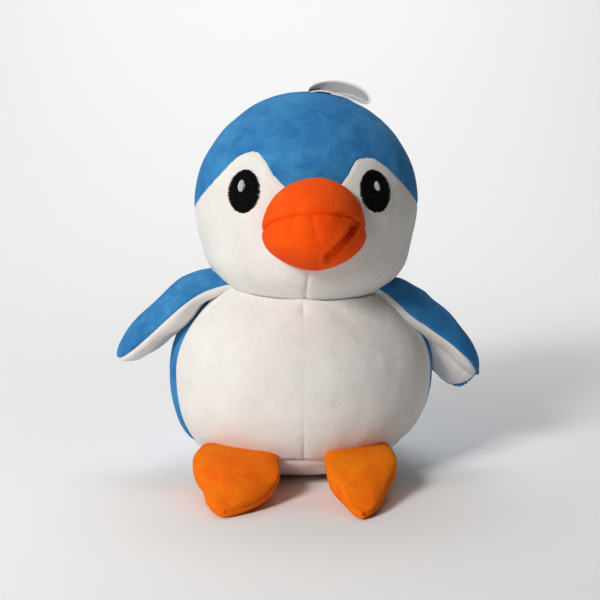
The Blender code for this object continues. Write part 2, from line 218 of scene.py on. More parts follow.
def pile_group():
    """Outputs Patches (0 to 1, stroked areas), Grain (0 to 1, fine tips) and Height."""
    tree = bpy.data.node_groups.new("brushed_pile", "ShaderNodeTree")
    tree.interface.new_socket("Patch scale", in_out="INPUT", socket_type="NodeSocketFloat")
    tree.interface.new_socket("Grain scale", in_out="INPUT", socket_type="NodeSocketFloat")
    for name in ("Patches", "Grain", "Height"):
        tree.interface.new_socket(name, in_out="OUTPUT", socket_type="NodeSocketFloat")
    inside = new_node(tree, "NodeGroupInput")
    outside = new_node(tree, "NodeGroupOutput")
    place = new_node(tree, "ShaderNodeTexCoord")
    stretch = new_node(tree, "ShaderNodeMapping")
    stretch.inputs["Scale"].default_value = (1, 1, 0.8)
    broad = new_node(tree, "ShaderNodeTexNoise", Detail=4.0, Roughness=0.62, Distortion=0.8)
    wider = sum_node(tree, "MULTIPLY", 0.3)
    strokes = new_node(tree, "ShaderNodeTexNoise", Detail=2.0, Roughness=0.5, Distortion=0.5)
    average = new_node(tree, "ShaderNodeMath", operation="ADD")
    halved = sum_node(tree, "MULTIPLY", 0.5)
    clear = new_node(tree, "ShaderNodeMapRange", clamp=True, **{"From Min": 0.38, "From Max": 0.62})
    fine = new_node(tree, "ShaderNodeTexNoise", Detail=3.0, Roughness=0.7)
    tufts = new_node(tree, "ShaderNodeTexVoronoi", feature="SMOOTH_F1")
    tufts.inputs["Smoothness"].default_value = 0.6
    sharpen = new_node(tree, "ShaderNodeMapRange", clamp=True, **{"From Min": 0.3, "From Max": 0.7})
    both = new_node(tree, "ShaderNodeMath", operation="SUBTRACT")
    link = tree.links.new
    link(place.outputs["Object"], stretch.inputs["Vector"])
    link(place.outputs["Object"], broad.inputs["Vector"])
    link(stretch.outputs["Vector"], fine.inputs["Vector"])
    link(stretch.outputs["Vector"], tufts.inputs["Vector"])
    link(inside.outputs["Patch scale"], broad.inputs["Scale"])
    link(inside.outputs["Grain scale"], fine.inputs["Scale"])
    link(inside.outputs["Grain scale"], tufts.inputs["Scale"])
    link(inside.outputs["Patch scale"], wider.inputs[0])
    link(place.outputs["Object"], strokes.inputs["Vector"])
    link(wider.outputs["Value"], strokes.inputs["Scale"])
    link(broad.outputs["Fac"], average.inputs[0])
    link(strokes.outputs["Fac"], average.inputs[1])
    link(average.outputs["Value"], halved.inputs[0])
    link(halved.outputs["Value"], clear.inputs["Value"])
    link(fine.outputs["Fac"], sharpen.inputs["Value"])
    link(sharpen.outputs["Result"], both.inputs[0])
    link(tufts.outputs["Distance"], both.inputs[1])
    link(clear.outputs["Result"], outside.inputs["Patches"])
    link(sharpen.outputs["Result"], outside.inputs["Grain"])
    link(both.outputs["Value"], outside.inputs["Height"])
    return tree


PILE = pile_group()


def plush(name, deep, light, worn, patch=0.011, grain=0.0009, relief=0.55, sheen=0.35):
    """Short plush: deep and light are its stroked colours, worn the tips of the pile."""
    made, tree, shader = new_material(name)
    pile = new_node(tree, "ShaderNodeGroup", node_tree=PILE)
    pile.inputs["Patch scale"].default_value = 1 / patch
    pile.inputs["Grain scale"].default_value = 1 / grain
    stroke = new_node(tree, "ShaderNodeMix", data_type="RGBA")
    colours(stroke.inputs)[0].default_value = (*deep, 1)
    colours(stroke.inputs)[1].default_value = (*light, 1)
    amount = sum_node(tree, "MULTIPLY", 0.45)
    tips = new_node(tree, "ShaderNodeMix", data_type="RGBA")
    colours(tips.inputs)[1].default_value = (*worn, 1)
    link = tree.links.new
    link(pile.outputs["Patches"], stroke.inputs["Factor"])
    link(pile.outputs["Grain"], amount.inputs[0])
    link(amount.outputs["Value"], tips.inputs["Factor"])
    link(colours(stroke.outputs)[0], colours(tips.inputs)[0])
    link(colours(tips.outputs)[0], shader.inputs["Base Color"])
    relieve(tree, shader, pile.outputs["Height"], relief, 0.9 * MM)
    shader.inputs["Roughness"].default_value = 0.9
    shader.inputs["Specular IOR Level"].default_value = 0.15
    shader.inputs["Sheen Weight"].default_value = sheen
    shader.inputs["Sheen Roughness"].default_value = 0.45
    shader.inputs["Sheen Tint"].default_value = (*light, 1)
    return made


BLUE = plush("blue_plush", (0.006, 0.115, 0.40), (0.052, 0.275, 0.57), (0.075, 0.33, 0.61), sheen=0.3)
WHITE = plush("white_plush", (0.72, 0.69, 0.66), (0.80, 0.78, 0.755), (0.88, 0.87, 0.85),
              relief=0.28, sheen=0.15)
ORANGE = plush("orange_plush", (0.95, 0.055, 0.001), (1.0, 0.115, 0.002), (1.0, 0.15, 0.004),
               patch=0.016, sheen=0.12)
# The beak and the feet are one orange cloth. The feet's copy below is painted lighter and more golden:
# painted light, for the stronger light that falls on the feet.
ORANGE_PAINTED_LIT = plush("orange_plush_painted_lit", (0.95, 0.105, 0.001), (1.0, 0.235, 0.003), (1.0, 0.31, 0.006),
               patch=0.016, sheen=0.12)
print("plush colours:", [m.name for m in (BLUE, WHITE, ORANGE, ORANGE_PAINTED_LIT)])

# %% [markdown]
# ## Helpers for cloth
#
# A sewn panel is a grid of points that follows a formula, dense enough (about a millimetre)
# to hold a seam's groove and the unevenness of the pile. Working on whole arrays of points
# keeps that fast. `noise` gives the same soft random bumps on every run.

# %% Noise and grids
BODY_CLOTH = 1.4 * MM        # thickness of the plush on body and head, backing and pile
POUCH_CLOTH = 1.2 * MM       # and on the beak, the wings and the feet
SAME_PLACE = 0.02 * MM       # points closer than this are one
SHARP = radians(55)          # edges turned further than this keep a crease


def noise(points, size, seed):
    """Soft random values from -1 to 1 that change over a distance of size."""
    table = np.random.RandomState(seed).rand(4096) * 2 - 1
    q = np.asarray(points, float) / size
    base = np.floor(q).astype(np.int64)
    t = q - base
    t = t * t * (3 - 2 * t)
    total = 0.0
    for corner in range(8):
        step = np.array([corner & 1, corner >> 1 & 1, corner >> 2 & 1])
        cell = base + step
        key = (cell[..., 0] * 73856093 ^ cell[..., 1] * 19349663 ^ cell[..., 2] * 83492791) & 4095
        share = np.where(step, t, 1 - t)
        total = total + table[key] * share[..., 0] * share[..., 1] * share[..., 2]
    return total


def grid_normals(points):
    """Unit normals of a grid of points, across first and up second."""
    across = np.gradient(points, axis=1)
    up = np.gradient(points, axis=0)
    normal = np.cross(across, up)
    size = np.linalg.norm(normal, axis=-1, keepdims=True)
    return normal / np.maximum(size, 1e-12)


def shaggy(points, normals, amount, seed):
    """Unevenness of the pile: soft lumps of stuffing, then tufts, then tips."""
    lift = (0.50 * MM * noise(points, 24 * MM, seed) + 0.10 * MM * noise(points, 8 * MM, seed + 1)
            + 0.24 * MM * noise(points * [1, 1, 0.35], 7 * MM, seed + 4)
            + 0.05 * MM * noise(points, 3 * MM, seed + 2) + 0.03 * MM * noise(points, 1.3 * MM, seed + 3))
    return points + normals * (lift * amount)[..., None]


def groove(distance, depth, width):
    """How far cloth sinks at a distance from a seam."""
    return -depth * np.clip(1 - distance / width, 0, 1)**2


def add_mesh(name, points, faces, material):
    """A new object in the scene from points and faces."""
    mesh = bpy.data.meshes.new(name)
    mesh.from_pydata([tuple(p) for p in points], [], faces)
    mesh.validate()
    mesh.materials.append(material)
    made = bpy.data.objects.new(name, mesh)
    bpy.context.scene.collection.objects.link(made)
    return made


def grid_faces(rows, columns):
    """Quads of a grid, numbered row by row."""
    index = np.arange(rows * columns).reshape(rows, columns)
    quads = np.stack([index[:-1, :-1], index[:-1, 1:], index[1:, 1:], index[1:, :-1]], -1)
    return quads.reshape(-1, 4).tolist()


def finish_cloth(obj, thickness):
    """Close poles and give the cloth its thickness on the inside."""
    bm = bmesh.new()
    bm.from_mesh(obj.data)
    bmesh.ops.remove_doubles(bm, verts=bm.verts, dist=SAME_PLACE)
    bmesh.ops.dissolve_degenerate(bm, edges=bm.edges, dist=0.001 * MM)
    bm.to_mesh(obj.data)
    bm.free()
    pick(obj)
    solid = obj.modifiers.new("cloth_thickness", "SOLIDIFY")
    solid.thickness = thickness
    solid.offset = -1
    bpy.ops.object.modifier_apply(modifier=solid.name)
    bpy.ops.object.shade_smooth_by_angle(angle=SHARP)
    return obj


def panel(name, points, material, thickness=BODY_CLOTH):
    """A sewn panel from a grid of points whose normals face out."""
    rows, columns = points.shape[:2]
    obj = add_mesh(name, points.reshape(-1, 3), grid_faces(rows, columns), material)
    return finish_cloth(obj, thickness)


def dress(obj, body, nodes):
    """Hang a piece on the body it moves with, and hide the CAD parts it stands for."""
    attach(obj, body)
    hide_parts(*nodes)
    print(obj.name, "rides on", body, "faces", len(obj.data.polygons))


# %% [markdown]
# ## Body
#
# The body is a squat oval cushion: two white belly panels, two blue back panels and a round
# base. Its size comes from the CAD panels' boxes. The cloth pulls in at every seam, because
# the stitches hold the backing down while the pile swells beside them. At the top it rolls
# over into the hollow that the head sits in.

# %% Body surface
PIVOT = np.array(joint["head_turn"]["pos_m"])
UNDERSIDE = 0.067
BODY_MIDDLE = 0.064
BODY_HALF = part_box("back_right")[1][0]
BODY_FRONT = -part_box("belly_left")[0][1]
BODY_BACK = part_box("back_left")[1][1]
BODY_UP = 0.0647
BODY_DOWN = 0.066
LOW_POWER = 2.7
LOW_POWER_RIGHT = 2.2
BASE_SEAM = radians(-36)
SIDE_SEAM = {"left": radians(-71.5), "right": radians(76.5)}
SEAM_LEAN = {SIDE_SEAM["left"]: radians(6), SIDE_SEAM["right"]: radians(1)}   # at the base
NECK_ROLL = 2.2 * MM
PER_TURN = 75 * MM           # cloth per radian round the belly
WALL_HEIGHT = 118 * MM       # cloth from the base seam to the neck
BASE_REACH = 42 * MM         # cloth from the middle of the base to its seam


def body_at(turn, lift, out=0.0):
    """Points on the body: turn from the front towards +X, lift from -90 to 90 degrees."""
    turn, lift = np.broadcast_arrays(np.asarray(turn, float), np.asarray(lift, float))
    high = lift > 0
    square = LOW_POWER + (LOW_POWER_RIGHT - LOW_POWER) * np.maximum(np.sin(turn), 0)**2
    power = np.where(high, 1.0, 2 / square)
    ring = np.maximum(np.cos(lift), 0)**power
    rise = np.where(high, BODY_UP + out, -(BODY_DOWN + out)) * np.abs(np.sin(lift))**power
    deep = np.where(np.cos(turn) > 0, BODY_FRONT, BODY_BACK) + out
    place = np.stack([(BODY_HALF + out) * ring * np.sin(turn), -deep * ring * np.cos(turn),
                      BODY_MIDDLE + rise], -1)
    place[..., 2] = np.maximum(place[..., 2], 0.0)
    return place


def neck_lift(turn):
    """The lift angle at which the body's surface meets the head's round underside."""
    low = np.full_like(np.asarray(turn, float), radians(20))
    high = np.full_like(low, radians(85))
    for _ in range(30):
        middle = (low + high) / 2
        away = np.linalg.norm(body_at(turn, middle, NECK_ROLL) - PIVOT, axis=-1) > UNDERSIDE
        low = np.where(away, middle, low)
        high = np.where(away, high, middle)
    return low


def soften(points, times):
    """Round a grid's corners along its columns, ends kept."""
    for _ in range(times):
        points[1:-1] = 0.5 * points[1:-1] + 0.25 * (points[:-2] + points[2:])
    return points


def body_panel(low, high, seed):
    """The grid of one side panel, from the base seam to inside the neck."""
    columns, rows, tuck = 116, 104, 10
    belly = low == 0 or high == 0
    across = np.linspace(0, 1, columns)[None, :]
    top = neck_lift(low + (high - low) * across)
    share = np.linspace(0, 1, rows)[:, None]
    bottom = (1 - share)**2.5
    low = low + SEAM_LEAN.get(low, 0.0) * bottom
    high = high + SEAM_LEAN.get(high, 0.0) * bottom
    turn = low + (high - low) * across
    lift = BASE_SEAM + (top - BASE_SEAM) * share
    from_neck = (1 - share) * WALL_HEIGHT
    wall = body_at(turn, lift, NECK_ROLL * np.exp(-(from_neck / (20 * MM))**2))
    rim = wall[-1] - PIVOT
    polar = np.arctan2(np.hypot(rim[:, 0], rim[:, 1]), -rim[:, 2])[None, :]
    side = np.arctan2(rim[:, 1], rim[:, 0])[None, :]
    polar = polar - np.radians(1.1) * np.arange(1, tuck + 1)[:, None]
    radius = UNDERSIDE + 0.9 * MM
    bowl = PIVOT + radius * np.stack([np.sin(polar) * np.cos(side), np.sin(polar) * np.sin(side),
                                      -np.cos(polar)], -1)
    points = soften(np.concatenate([wall, bowl]), 3)
    normals = grid_normals(points)
    turn = np.concatenate([turn] + [turn[-1:]] * tuck)
    low = np.concatenate([low] + [low[-1:]] * tuck)
    high = np.concatenate([high] + [high[-1:]] * tuck)
    edge = np.minimum(turn - low, high - turn) * PER_TURN
    height = np.linspace(0, 1, rows + tuck)[:, None] * WALL_HEIGHT
    sink = groove(edge, 1.1 * MM, 4.0 * MM)
    if belly:
        to_middle = np.abs(turn) * PER_TURN
        firm = 0.08 + 0.8 * np.exp(-((height - 2 * MM) / (22 * MM))**2)
        firm = firm + 0.35 * np.exp(-((height - 101 * MM) / (6 * MM))**2)
        sink = groove(np.abs(turn - (low + high)) * PER_TURN, 1.1 * MM, 4.0 * MM)
        sink = sink + groove(to_middle, 1.0 * MM, 3.0 * MM) * firm
        ridge = np.exp(-(to_middle / (5 * MM))**2) * np.exp(-((height - 111 * MM) / (7 * MM))**2)
        dimple = np.exp(-(to_middle / (3.5 * MM))**2) * np.exp(-((height - 99 * MM) / (4 * MM))**2)
        sink = sink + 1.2 * MM * ridge - 1.0 * MM * dimple
    sink = sink + groove(height, 1.4 * MM, 4.5 * MM)
    pucker = 0.4 * MM * noise(points, 5 * MM, seed + 9) * np.exp(-height / (7 * MM))
    points = points + normals * (sink + pucker)[..., None]
    points = shaggy(points, normals, 1.0, seed)
    points[..., 2] = np.maximum(points[..., 2], 0.3 * MM)
    return points


# %% Body panels
BODY_SEED = 20
BODY_PANELS = [("belly_left_cloth", SIDE_SEAM["left"], 0.0, WHITE, ["belly_left"]),
               ("belly_right_cloth", 0.0, SIDE_SEAM["right"], WHITE, ["belly_right"]),
               ("back_left_cloth", -pi, SIDE_SEAM["left"], BLUE, ["back_left"]),
               ("back_right_cloth", SIDE_SEAM["right"], pi, BLUE, ["back_right", "body_filling"])]
for name, low, high, colour, nodes in BODY_PANELS:
    cloth = panel(name, body_panel(low, high, BODY_SEED), colour)
    dress(cloth, "root", nodes)

base_turn = np.linspace(-pi, pi, 181)[None, :]
base_lift = np.linspace(-pi / 2, BASE_SEAM, 60)[:, None]
base = body_at(base_turn, base_lift)
base_normals = grid_normals(base)
base_edge = (1 - np.linspace(0, 1, 60))[:, None] * BASE_REACH
base_sink = groove(np.broadcast_to(base_edge, base.shape[:2]), 1.6 * MM, 4.5 * MM)
base = base + base_normals * base_sink[..., None]
base = shaggy(base, base_normals, 0.8, BODY_SEED)
base[..., 2] = np.maximum(base[..., 2], 0.0)
dress(panel("base_cloth", base, WHITE), "root", ["base_panel"])

# %% [markdown]
# ## Head
#
# The head is a ball of five panels: two white face panels, one blue cap with a point between
# the eyes, and two blue back panels. Its underside is part of a sphere about the neck's
# pivot, so it can turn in the body's hollow without tearing away from it.

# %% Head surface
HEAD_HALF = (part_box("head_back_right")[1][0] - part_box("head_back_left")[0][0]) / 2
HEAD_RISE = 0.010
HEAD_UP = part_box("forehead_cap")[1][2] - PIVOT[2] - HEAD_RISE
HEAD_TURN = radians(1.8)
CHEEK = 2.6 * MM
LEFT_CHEEK = 1.6 * MM
UNDERSIDE_TOP = radians(-30)
HEAD_SEAM = radians(97)
NECK_EDGE = radians(-52)     # lift angle of the panels' lower edge, inside the neck
CROWN_EDGE = radians(89.6)   # and of the upper edge, at the crown
HEAD_SEED = 40
# The seam between face and cap: degrees round from the nose, and mm above the head's middle.
CAP_EDGE = [(-97, -7), (-80, -1), (-70, 5.5), (-58, 16), (-51, 24), (-46, 29.5), (-41, 32.5), (-34, 33.5),
            (-28, 30), (-22, 22), (-14, 13), (0, -4), (12, 13), (18, 21), (23, 28), (29, 30),
            (36, 29), (43, 24.5), (50, 18), (58, 11), (70, 2.5), (80, -2), (97, -7)]
CHIN_SEAM_LEAN = radians(-5)


def head_radius(lift):
    """The head's radius about its pivot, at angles above the horizontal."""
    lift = np.asarray(lift, float)
    rim = atan2(HEAD_RISE, HEAD_HALF)
    width = rim - UNDERSIDE_TOP
    t = np.clip((lift - UNDERSIDE_TOP) / width, 0, 1)
    end = sqrt(HEAD_HALF**2 + HEAD_RISE**2)
    cheek = UNDERSIDE + (end - UNDERSIDE) * (3 * t**2 - 2 * t**3)
    cheek = cheek + (t**3 - t**2) * width * end * HEAD_RISE / HEAD_HALF
    a = (np.cos(lift) / HEAD_HALF)**2 + (np.sin(lift) / HEAD_UP)**2
    b = -2 * np.sin(lift) * HEAD_RISE / HEAD_UP**2
    c = (HEAD_RISE / HEAD_UP)**2 - 1
    crown = (-b + np.sqrt(b * b - 4 * a * c)) / (2 * a)
    return np.where(lift < rim, cheek, crown)


def head_at(turn, lift, out=0.0):
    """Points on the head: turn from the nose towards +X, lift above the horizontal."""
    turn, lift = np.broadcast_arrays(np.asarray(turn, float), np.asarray(lift, float))
    cheek = CHEEK * np.exp(-((lift - radians(-26)) / radians(12))**2)
    full = LEFT_CHEEK * np.exp(-((turn + pi / 2) / radians(42))**2 - ((lift - radians(4)) / radians(20))**2)
    radius = (head_radius(lift) + cheek + full + out)[..., None]
    turn = turn + HEAD_TURN
    way = np.stack([np.cos(lift) * np.sin(turn), -np.cos(lift) * np.cos(turn), np.sin(lift)], -1)
    return PIVOT + radius * way


LIFTS = np.linspace(radians(-60), pi / 2, 2000)
HEIGHTS = PIVOT[2] + head_radius(LIFTS) * np.sin(LIFTS)


def head_lift(height):
    """The lift angle at which the head's surface reaches a height above the floor."""
    return np.interp(height, HEIGHTS, LIFTS)


def smooth_curve(points, at):
    """A smooth curve's height at some places, through a few points."""
    at = np.asarray(at, float)
    xs = np.array([p[0] for p in points], float)
    ys = np.array([p[1] for p in points], float)
    slopes = np.gradient(ys, xs)
    i = np.clip(np.searchsorted(xs, at, side="right") - 1, 0, len(xs) - 2)
    width = xs[i + 1] - xs[i]
    t = np.clip((at - xs[i]) / width, 0, 1)
    return ((2 * t**3 - 3 * t**2 + 1) * ys[i] + (t**3 - 2 * t**2 + t) * width * slopes[i]
            + (3 * t**2 - 2 * t**3) * ys[i + 1] + (t**3 - t**2) * width * slopes[i + 1])


def cap_lift(turn):
    """The lift angle of the seam between the face and the cap."""
    height = PIVOT[2] + HEAD_RISE + MM * smooth_curve(CAP_EDGE, np.degrees(turn))
    ruffle = noise(np.stack([turn * 70 * MM, 0 * turn, 0 * turn], -1), 1.5 * MM, 33)
    return head_lift(height + 0.35 * MM * ruffle)


def head_panel(low, high, bottom, top, columns, rows, seed, deep=1.0 * MM):
    """The grid of one head panel, with its four edges pulled in."""
    turn = np.linspace(low, high, columns)[None, :]
    floor, ceiling = bottom(turn), top(turn)
    share = np.linspace(0, 1, rows)[:, None]
    lift = floor + (ceiling - floor) * share
    lean = CHIN_SEAM_LEAN * np.clip(-lift / radians(45), 0, 1) * np.exp(-(turn / radians(28))**2)
    points = head_at(turn + lean, lift)
    normals = grid_normals(points)
    tall = (ceiling - floor) * HEAD_HALF
    slope = np.abs(np.gradient(ceiling[0], turn[0]))[None, :]
    slant = 1 / np.sqrt(1 + slope**2)
    round_it = np.cos(lift) * HEAD_HALF
    edge = np.minimum(turn - low, high - turn) * round_it
    above = (1 - share) * tall * slant
    below = share * tall
    sink = groove(edge, deep, 3.6 * MM)
    sink = np.minimum(sink, groove(above, deep * 0.6, 2.6 * MM))
    if bottom is cap_lift:
        under = np.abs(np.gradient(floor[0], turn[0]))[None, :]
        sink = np.minimum(sink, groove(below / np.sqrt(1 + under**2), deep * 0.6, 2.6 * MM))
    points = points + normals * sink[..., None]
    keep = np.clip((lift - radians(-44)) / radians(14), 0.15, 1)
    return shaggy(points, normals * keep[..., None], 1.0, seed)


def neck_edge(turn):
    """The lower edge of a head panel."""
    return np.full_like(turn, NECK_EDGE)


def crown_edge(turn):
    """The upper edge of a head panel."""
    return np.full_like(turn, CROWN_EDGE)


# %% Head panels
HEAD_PANELS = [("face_left_cloth", -HEAD_SEAM, 0.0, neck_edge, cap_lift, 108, 84, WHITE, ["face_left"]),
               ("face_right_cloth", 0.0, HEAD_SEAM, neck_edge, cap_lift, 108, 84, WHITE, ["face_right"]),
               ("forehead_cap_cloth", -HEAD_SEAM, HEAD_SEAM, cap_lift, crown_edge, 215, 90, BLUE,
                ["forehead_cap"]),
               ("head_back_left_cloth", -pi, -HEAD_SEAM, neck_edge, crown_edge, 92, 150, BLUE,
                ["head_back_left"]),
               ("head_back_right_cloth", HEAD_SEAM, pi, neck_edge, crown_edge, 92, 150, BLUE,
                ["head_back_right", "head_filling"])]
for name, low, high, bottom, top, columns, rows, colour, nodes in HEAD_PANELS:
    grid = head_panel(low, high, bottom, top, columns, rows, HEAD_SEED)
    dress(panel(name, grid, colour), "head", nodes)

# %% [markdown]
# ## Blowing cloth up
#
# The beak, the wings and the feet are small pouches filled with fibre. Each starts as a closed
# net of points, a little slimmer than it ends. Blender's cloth simulation then fills it with
# air pressure, with the stitched lines pinned and the cloth cut three hundredths too large,
# so it bulges and puckers beside the stitches as real cloth does. The net stays a grid, so it
# can be refined, split at the seam into its two panels and given its pile.

# %% Cloth tools
def between(values, factor, ring=False):
    """More rows between the rows of a grid, on a smooth curve through them."""
    count = len(values)
    if ring:
        index = np.arange(count * factor + 1) / factor
    else:
        index = np.arange((count - 1) * factor + 1) / factor
    low = np.floor(index).astype(int)
    t = (index - low)[:, None, None]

    def pick(i):
        return values[i % count] if ring else values[np.clip(i, 0, count - 1)]
    a, b, c, d = pick(low - 1), pick(low), pick(low + 1), pick(low + 2)
    return b + 0.5 * t * (c - a + t * (2 * a - 5 * b + 4 * c - d + t * (3 * (b - c) + d - a)))


def finer(grid, factor):
    """A grid that is closed round its columns, with more points both ways."""
    rows = between(grid, factor)
    return between(rows.swapaxes(0, 1), factor, ring=True).swapaxes(0, 1)


def evened(values, times):
    """Average a grid that is closed round its columns with its neighbours, both ways."""
    for _ in range(times):
        values = (np.roll(values, 1, axis=1) + 2 * values + np.roll(values, -1, axis=1)) / 4
        values[1:-1] = (values[:-2] + 2 * values[1:-1] + values[2:]) / 4
    return values


SIMULATED_FRAMES = 20
CUT_LARGER = 0.03            # share by which the cloth is cut larger than the net


def blow_up(name, grid, pinned, most, pressure=4.0):
    """Simulate a pouch, closed round its columns and at both ends, and return its new grid."""
    rows, columns = grid.shape[:2]
    body = grid[1:-1].reshape(-1, 3)
    points = np.concatenate([grid[0, :1], body, grid[-1, :1]])
    ring = 1 + np.arange((rows - 2) * columns).reshape(rows - 2, columns)
    turned = np.roll(ring, -1, axis=1)
    faces = np.stack([ring[:-1], turned[:-1], turned[1:], ring[1:]], -1).reshape(-1, 4).tolist()
    last = len(points) - 1
    faces += [[0, b, a] for a, b in zip(ring[0], turned[0])]
    faces += [[last, a, b] for a, b in zip(ring[-1], turned[-1])]
    faces = [[int(i) for i in face] for face in faces]
    pouch = add_mesh(name + "_pouch", points, faces, WHITE)
    bm = bmesh.new()
    bm.from_mesh(pouch.data)
    bmesh.ops.recalc_face_normals(bm, faces=bm.faces)
    bm.to_mesh(pouch.data)
    bm.free()
    holds = np.concatenate([[pinned[0, 0]], pinned[1:-1].reshape(-1), [pinned[-1, 0]]])
    group = pouch.vertex_groups.new(name="stitched")
    for index in np.flatnonzero(holds > 0):
        group.add([int(index)], float(min(holds[index], 1)), "REPLACE")
    cloth = pouch.modifiers.new("stuffing", "CLOTH")
    cloth.settings.quality = 5
    cloth.settings.mass = 0.15
    cloth.settings.tension_stiffness = 12
    cloth.settings.compression_stiffness = 12
    cloth.settings.bending_stiffness = 0.25
    cloth.settings.vertex_group_mass = "stitched"
    cloth.settings.use_pressure = True
    cloth.settings.uniform_pressure_force = pressure
    cloth.settings.shrink_min = -CUT_LARGER
    cloth.settings.effector_weights.gravity = 0
    cloth.collision_settings.use_collision = False
    for frame_number in range(1, SIMULATED_FRAMES + 1):
        bpy.context.scene.frame_set(frame_number)
    evaluated = pouch.evaluated_get(bpy.context.evaluated_depsgraph_get())
    moved = np.empty(len(points) * 3)
    evaluated.data.vertices.foreach_get("co", moved)
    shift = moved.reshape(-1, 3) - points
    size = np.linalg.norm(shift, axis=1, keepdims=True)
    shift = np.nan_to_num(shift * np.minimum(1, most / np.maximum(size, 1e-9)))
    bpy.data.objects.remove(pouch, do_unlink=True)
    bpy.context.scene.frame_set(1)
    bulge = np.zeros_like(grid)
    bulge[0], bulge[-1] = shift[0], shift[-1]
    bulge[1:-1] = shift[1:-1].reshape(rows - 2, columns, 3)
    filled = grid + evened(bulge, 3)
    print(name, "moved at most", round(float(np.linalg.norm(filled - grid, axis=-1).max()) / MM, 2), "mm")
    return filled


def seam_distance(points, seams):
    """How far each point of a closed grid is from its nearest seam column."""
    steps = np.linalg.norm(np.diff(points, axis=1), axis=-1)
    along = np.concatenate([np.zeros((len(points), 1)), np.cumsum(steps, axis=1)], axis=1)
    return np.min([np.abs(along - along[:, s:s + 1]) for s in seams], axis=0)


def closed_normals(points):
    """Outward unit normals of a grid that is closed round its columns."""
    middle = points[:, :-1].mean(axis=1, keepdims=True)
    normals = grid_normals(np.concatenate([points[:, -2:-1], points, points[:, 1:2]], axis=1))[:, 1:-1]
    if np.sum(normals * (points - middle)) < 0:
        normals = -normals
    normals[:, :-1] = evened(normals[:, :-1], 2)
    normals[:, -1] = normals[:, 0]
    return normals / np.maximum(np.linalg.norm(normals, axis=-1, keepdims=True), 1e-9)


def sewn(points, seams, depth, width, seed, fold=None, calm=None):
    """Give a closed pouch its seams, puckers, folds and pile, fading out at both ends."""
    normals = closed_normals(points)
    distance = seam_distance(points, seams)
    row = np.arange(len(points))[:, None]
    fade = np.clip(np.minimum(row, len(points) - 1 - row) / 7, 0, 1)
    if calm is not None:
        fade = fade * calm(points)
    pucker = 0.35 * MM * noise(points, 4.5 * MM, seed) * np.exp(-distance / (5 * MM))
    sink = (groove(distance, depth, width) + pucker) * fade
    if fold is not None:
        sink = sink + fold(points) * fade
    points = points + normals * sink[..., None]
    return shaggy(points, closed_normals(points) * fade[..., None], 0.9, seed + 1)


def pouch_panel(name, points, first, last, material):
    """One panel of a closed pouch, from one seam column to another, with its faces out."""
    middle = points[:, :-1].mean(axis=1, keepdims=True)
    part = points[:, first:last + 1]
    if np.sum(grid_normals(part) * (part - middle)) < 0:
        part = part[:, ::-1]
    return panel(name, part, material, POUCH_CLOTH)


def ring_of_body(z, gap):
    """The body's radius at a height, as a share of its half width."""
    part = np.where(z > BODY_MIDDLE, (z - BODY_MIDDLE) / (BODY_UP + gap),
                    (BODY_MIDDLE - z) / (BODY_DOWN + gap))
    power = np.where(z > BODY_MIDDLE, 2.0, LOW_POWER)
    return np.maximum(1 - np.clip(part, 0, 1)**power, 0)**(1 / power)


def clear_of_body(points, gap):
    """Push points level outwards until they lie outside the body."""
    x, y, z = points[..., 0], points[..., 1], points[..., 2]
    deep = np.where(y < 0, BODY_FRONT, BODY_BACK) + gap
    ring = np.hypot(x / (BODY_HALF + gap), y / deep)
    grow = np.maximum(1, ring_of_body(z, gap) / np.maximum(ring, 1e-6))
    return np.stack([x * grow, y * grow, z], -1)


def clear_of_head(points, gap):
    """Push points out of the head's round underside."""
    away = points - PIVOT
    size = np.linalg.norm(away, axis=-1, keepdims=True)
    return PIVOT + away * np.maximum(1, (UNDERSIDE + gap) / np.maximum(size, 1e-9))


# %% [markdown]
# ## Beak
#
# The beak is two rounds of orange plush, sewn together along the mouth and on to the face
# along the rim. The mouth seam arches up in the middle, so the lower half looks up at the
# viewer, and it is stuffed until it folds on one side.

# %% Beak surface
BEAK_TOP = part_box("beak_upper")[1][2]
BEAK_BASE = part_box("beak_lower")[0][2]
BEAK_CORNER = 0.159
BEAK_HALF = 0.0305
BEAK_RISE = BEAK_TOP - BEAK_CORNER
BEAK_DROP = BEAK_CORNER - BEAK_BASE - 1.0 * MM
BEAK_LENGTH = 0.029
MOUTH = radians(28)
NOSE = np.array([sin(HEAD_TURN), -cos(HEAD_TURN), 0])
SIDEWAYS = np.array([cos(HEAD_TURN), sin(HEAD_TURN), 0])


def on_face(x, z, out):
    """A place on the face, x to the side of the nose and z above the floor, moved out."""
    lift = head_lift(z)
    ring = head_radius(lift) * np.cos(lift)
    deep = np.sqrt(np.maximum(ring**2 - x**2, 0))
    flat = PIVOT * [1, 1, 0]
    return flat + x[..., None] * SIDEWAYS + (deep + out)[..., None] * NOSE + z[..., None] * [0, 0, 1]


def beak_grid(rows=34, columns=40):
    """Rows run from corner to corner; columns go once round, over the front and behind."""
    s = np.linspace(0, pi, rows)[:, None]
    around = np.linspace(0, 2 * pi, columns, endpoint=False)[None, :]
    s, around = np.broadcast_arrays(s, around)
    t = pi / 2 - around
    tall = np.where(np.sin(t) > 0, BEAK_RISE, BEAK_DROP)
    front = np.cos(t) > 0
    x = BEAK_HALF * np.cos(s)
    slim = 1 - 0.05 * np.exp(-((s - radians(130)) / radians(24))**2) * (np.sin(t) < 0)
    slim = slim - 0.09 * np.exp(-((s - radians(48)) / radians(26))**2) * (np.sin(t) < 0)
    z = BEAK_CORNER + tall * slim * np.sin(s) * np.sin(t)
    out = np.where(front, BEAK_LENGTH * np.sin(s)**0.9 * np.maximum(np.cos(t), 0)**0.85, 0)
    tuck = 2.5 * MM * np.exp(-(np.sin(s) / 0.12)**2)
    return on_face(x, z, np.where(front, out - 1.2 * MM * np.sin(s), -2.0 * MM) - tuck)


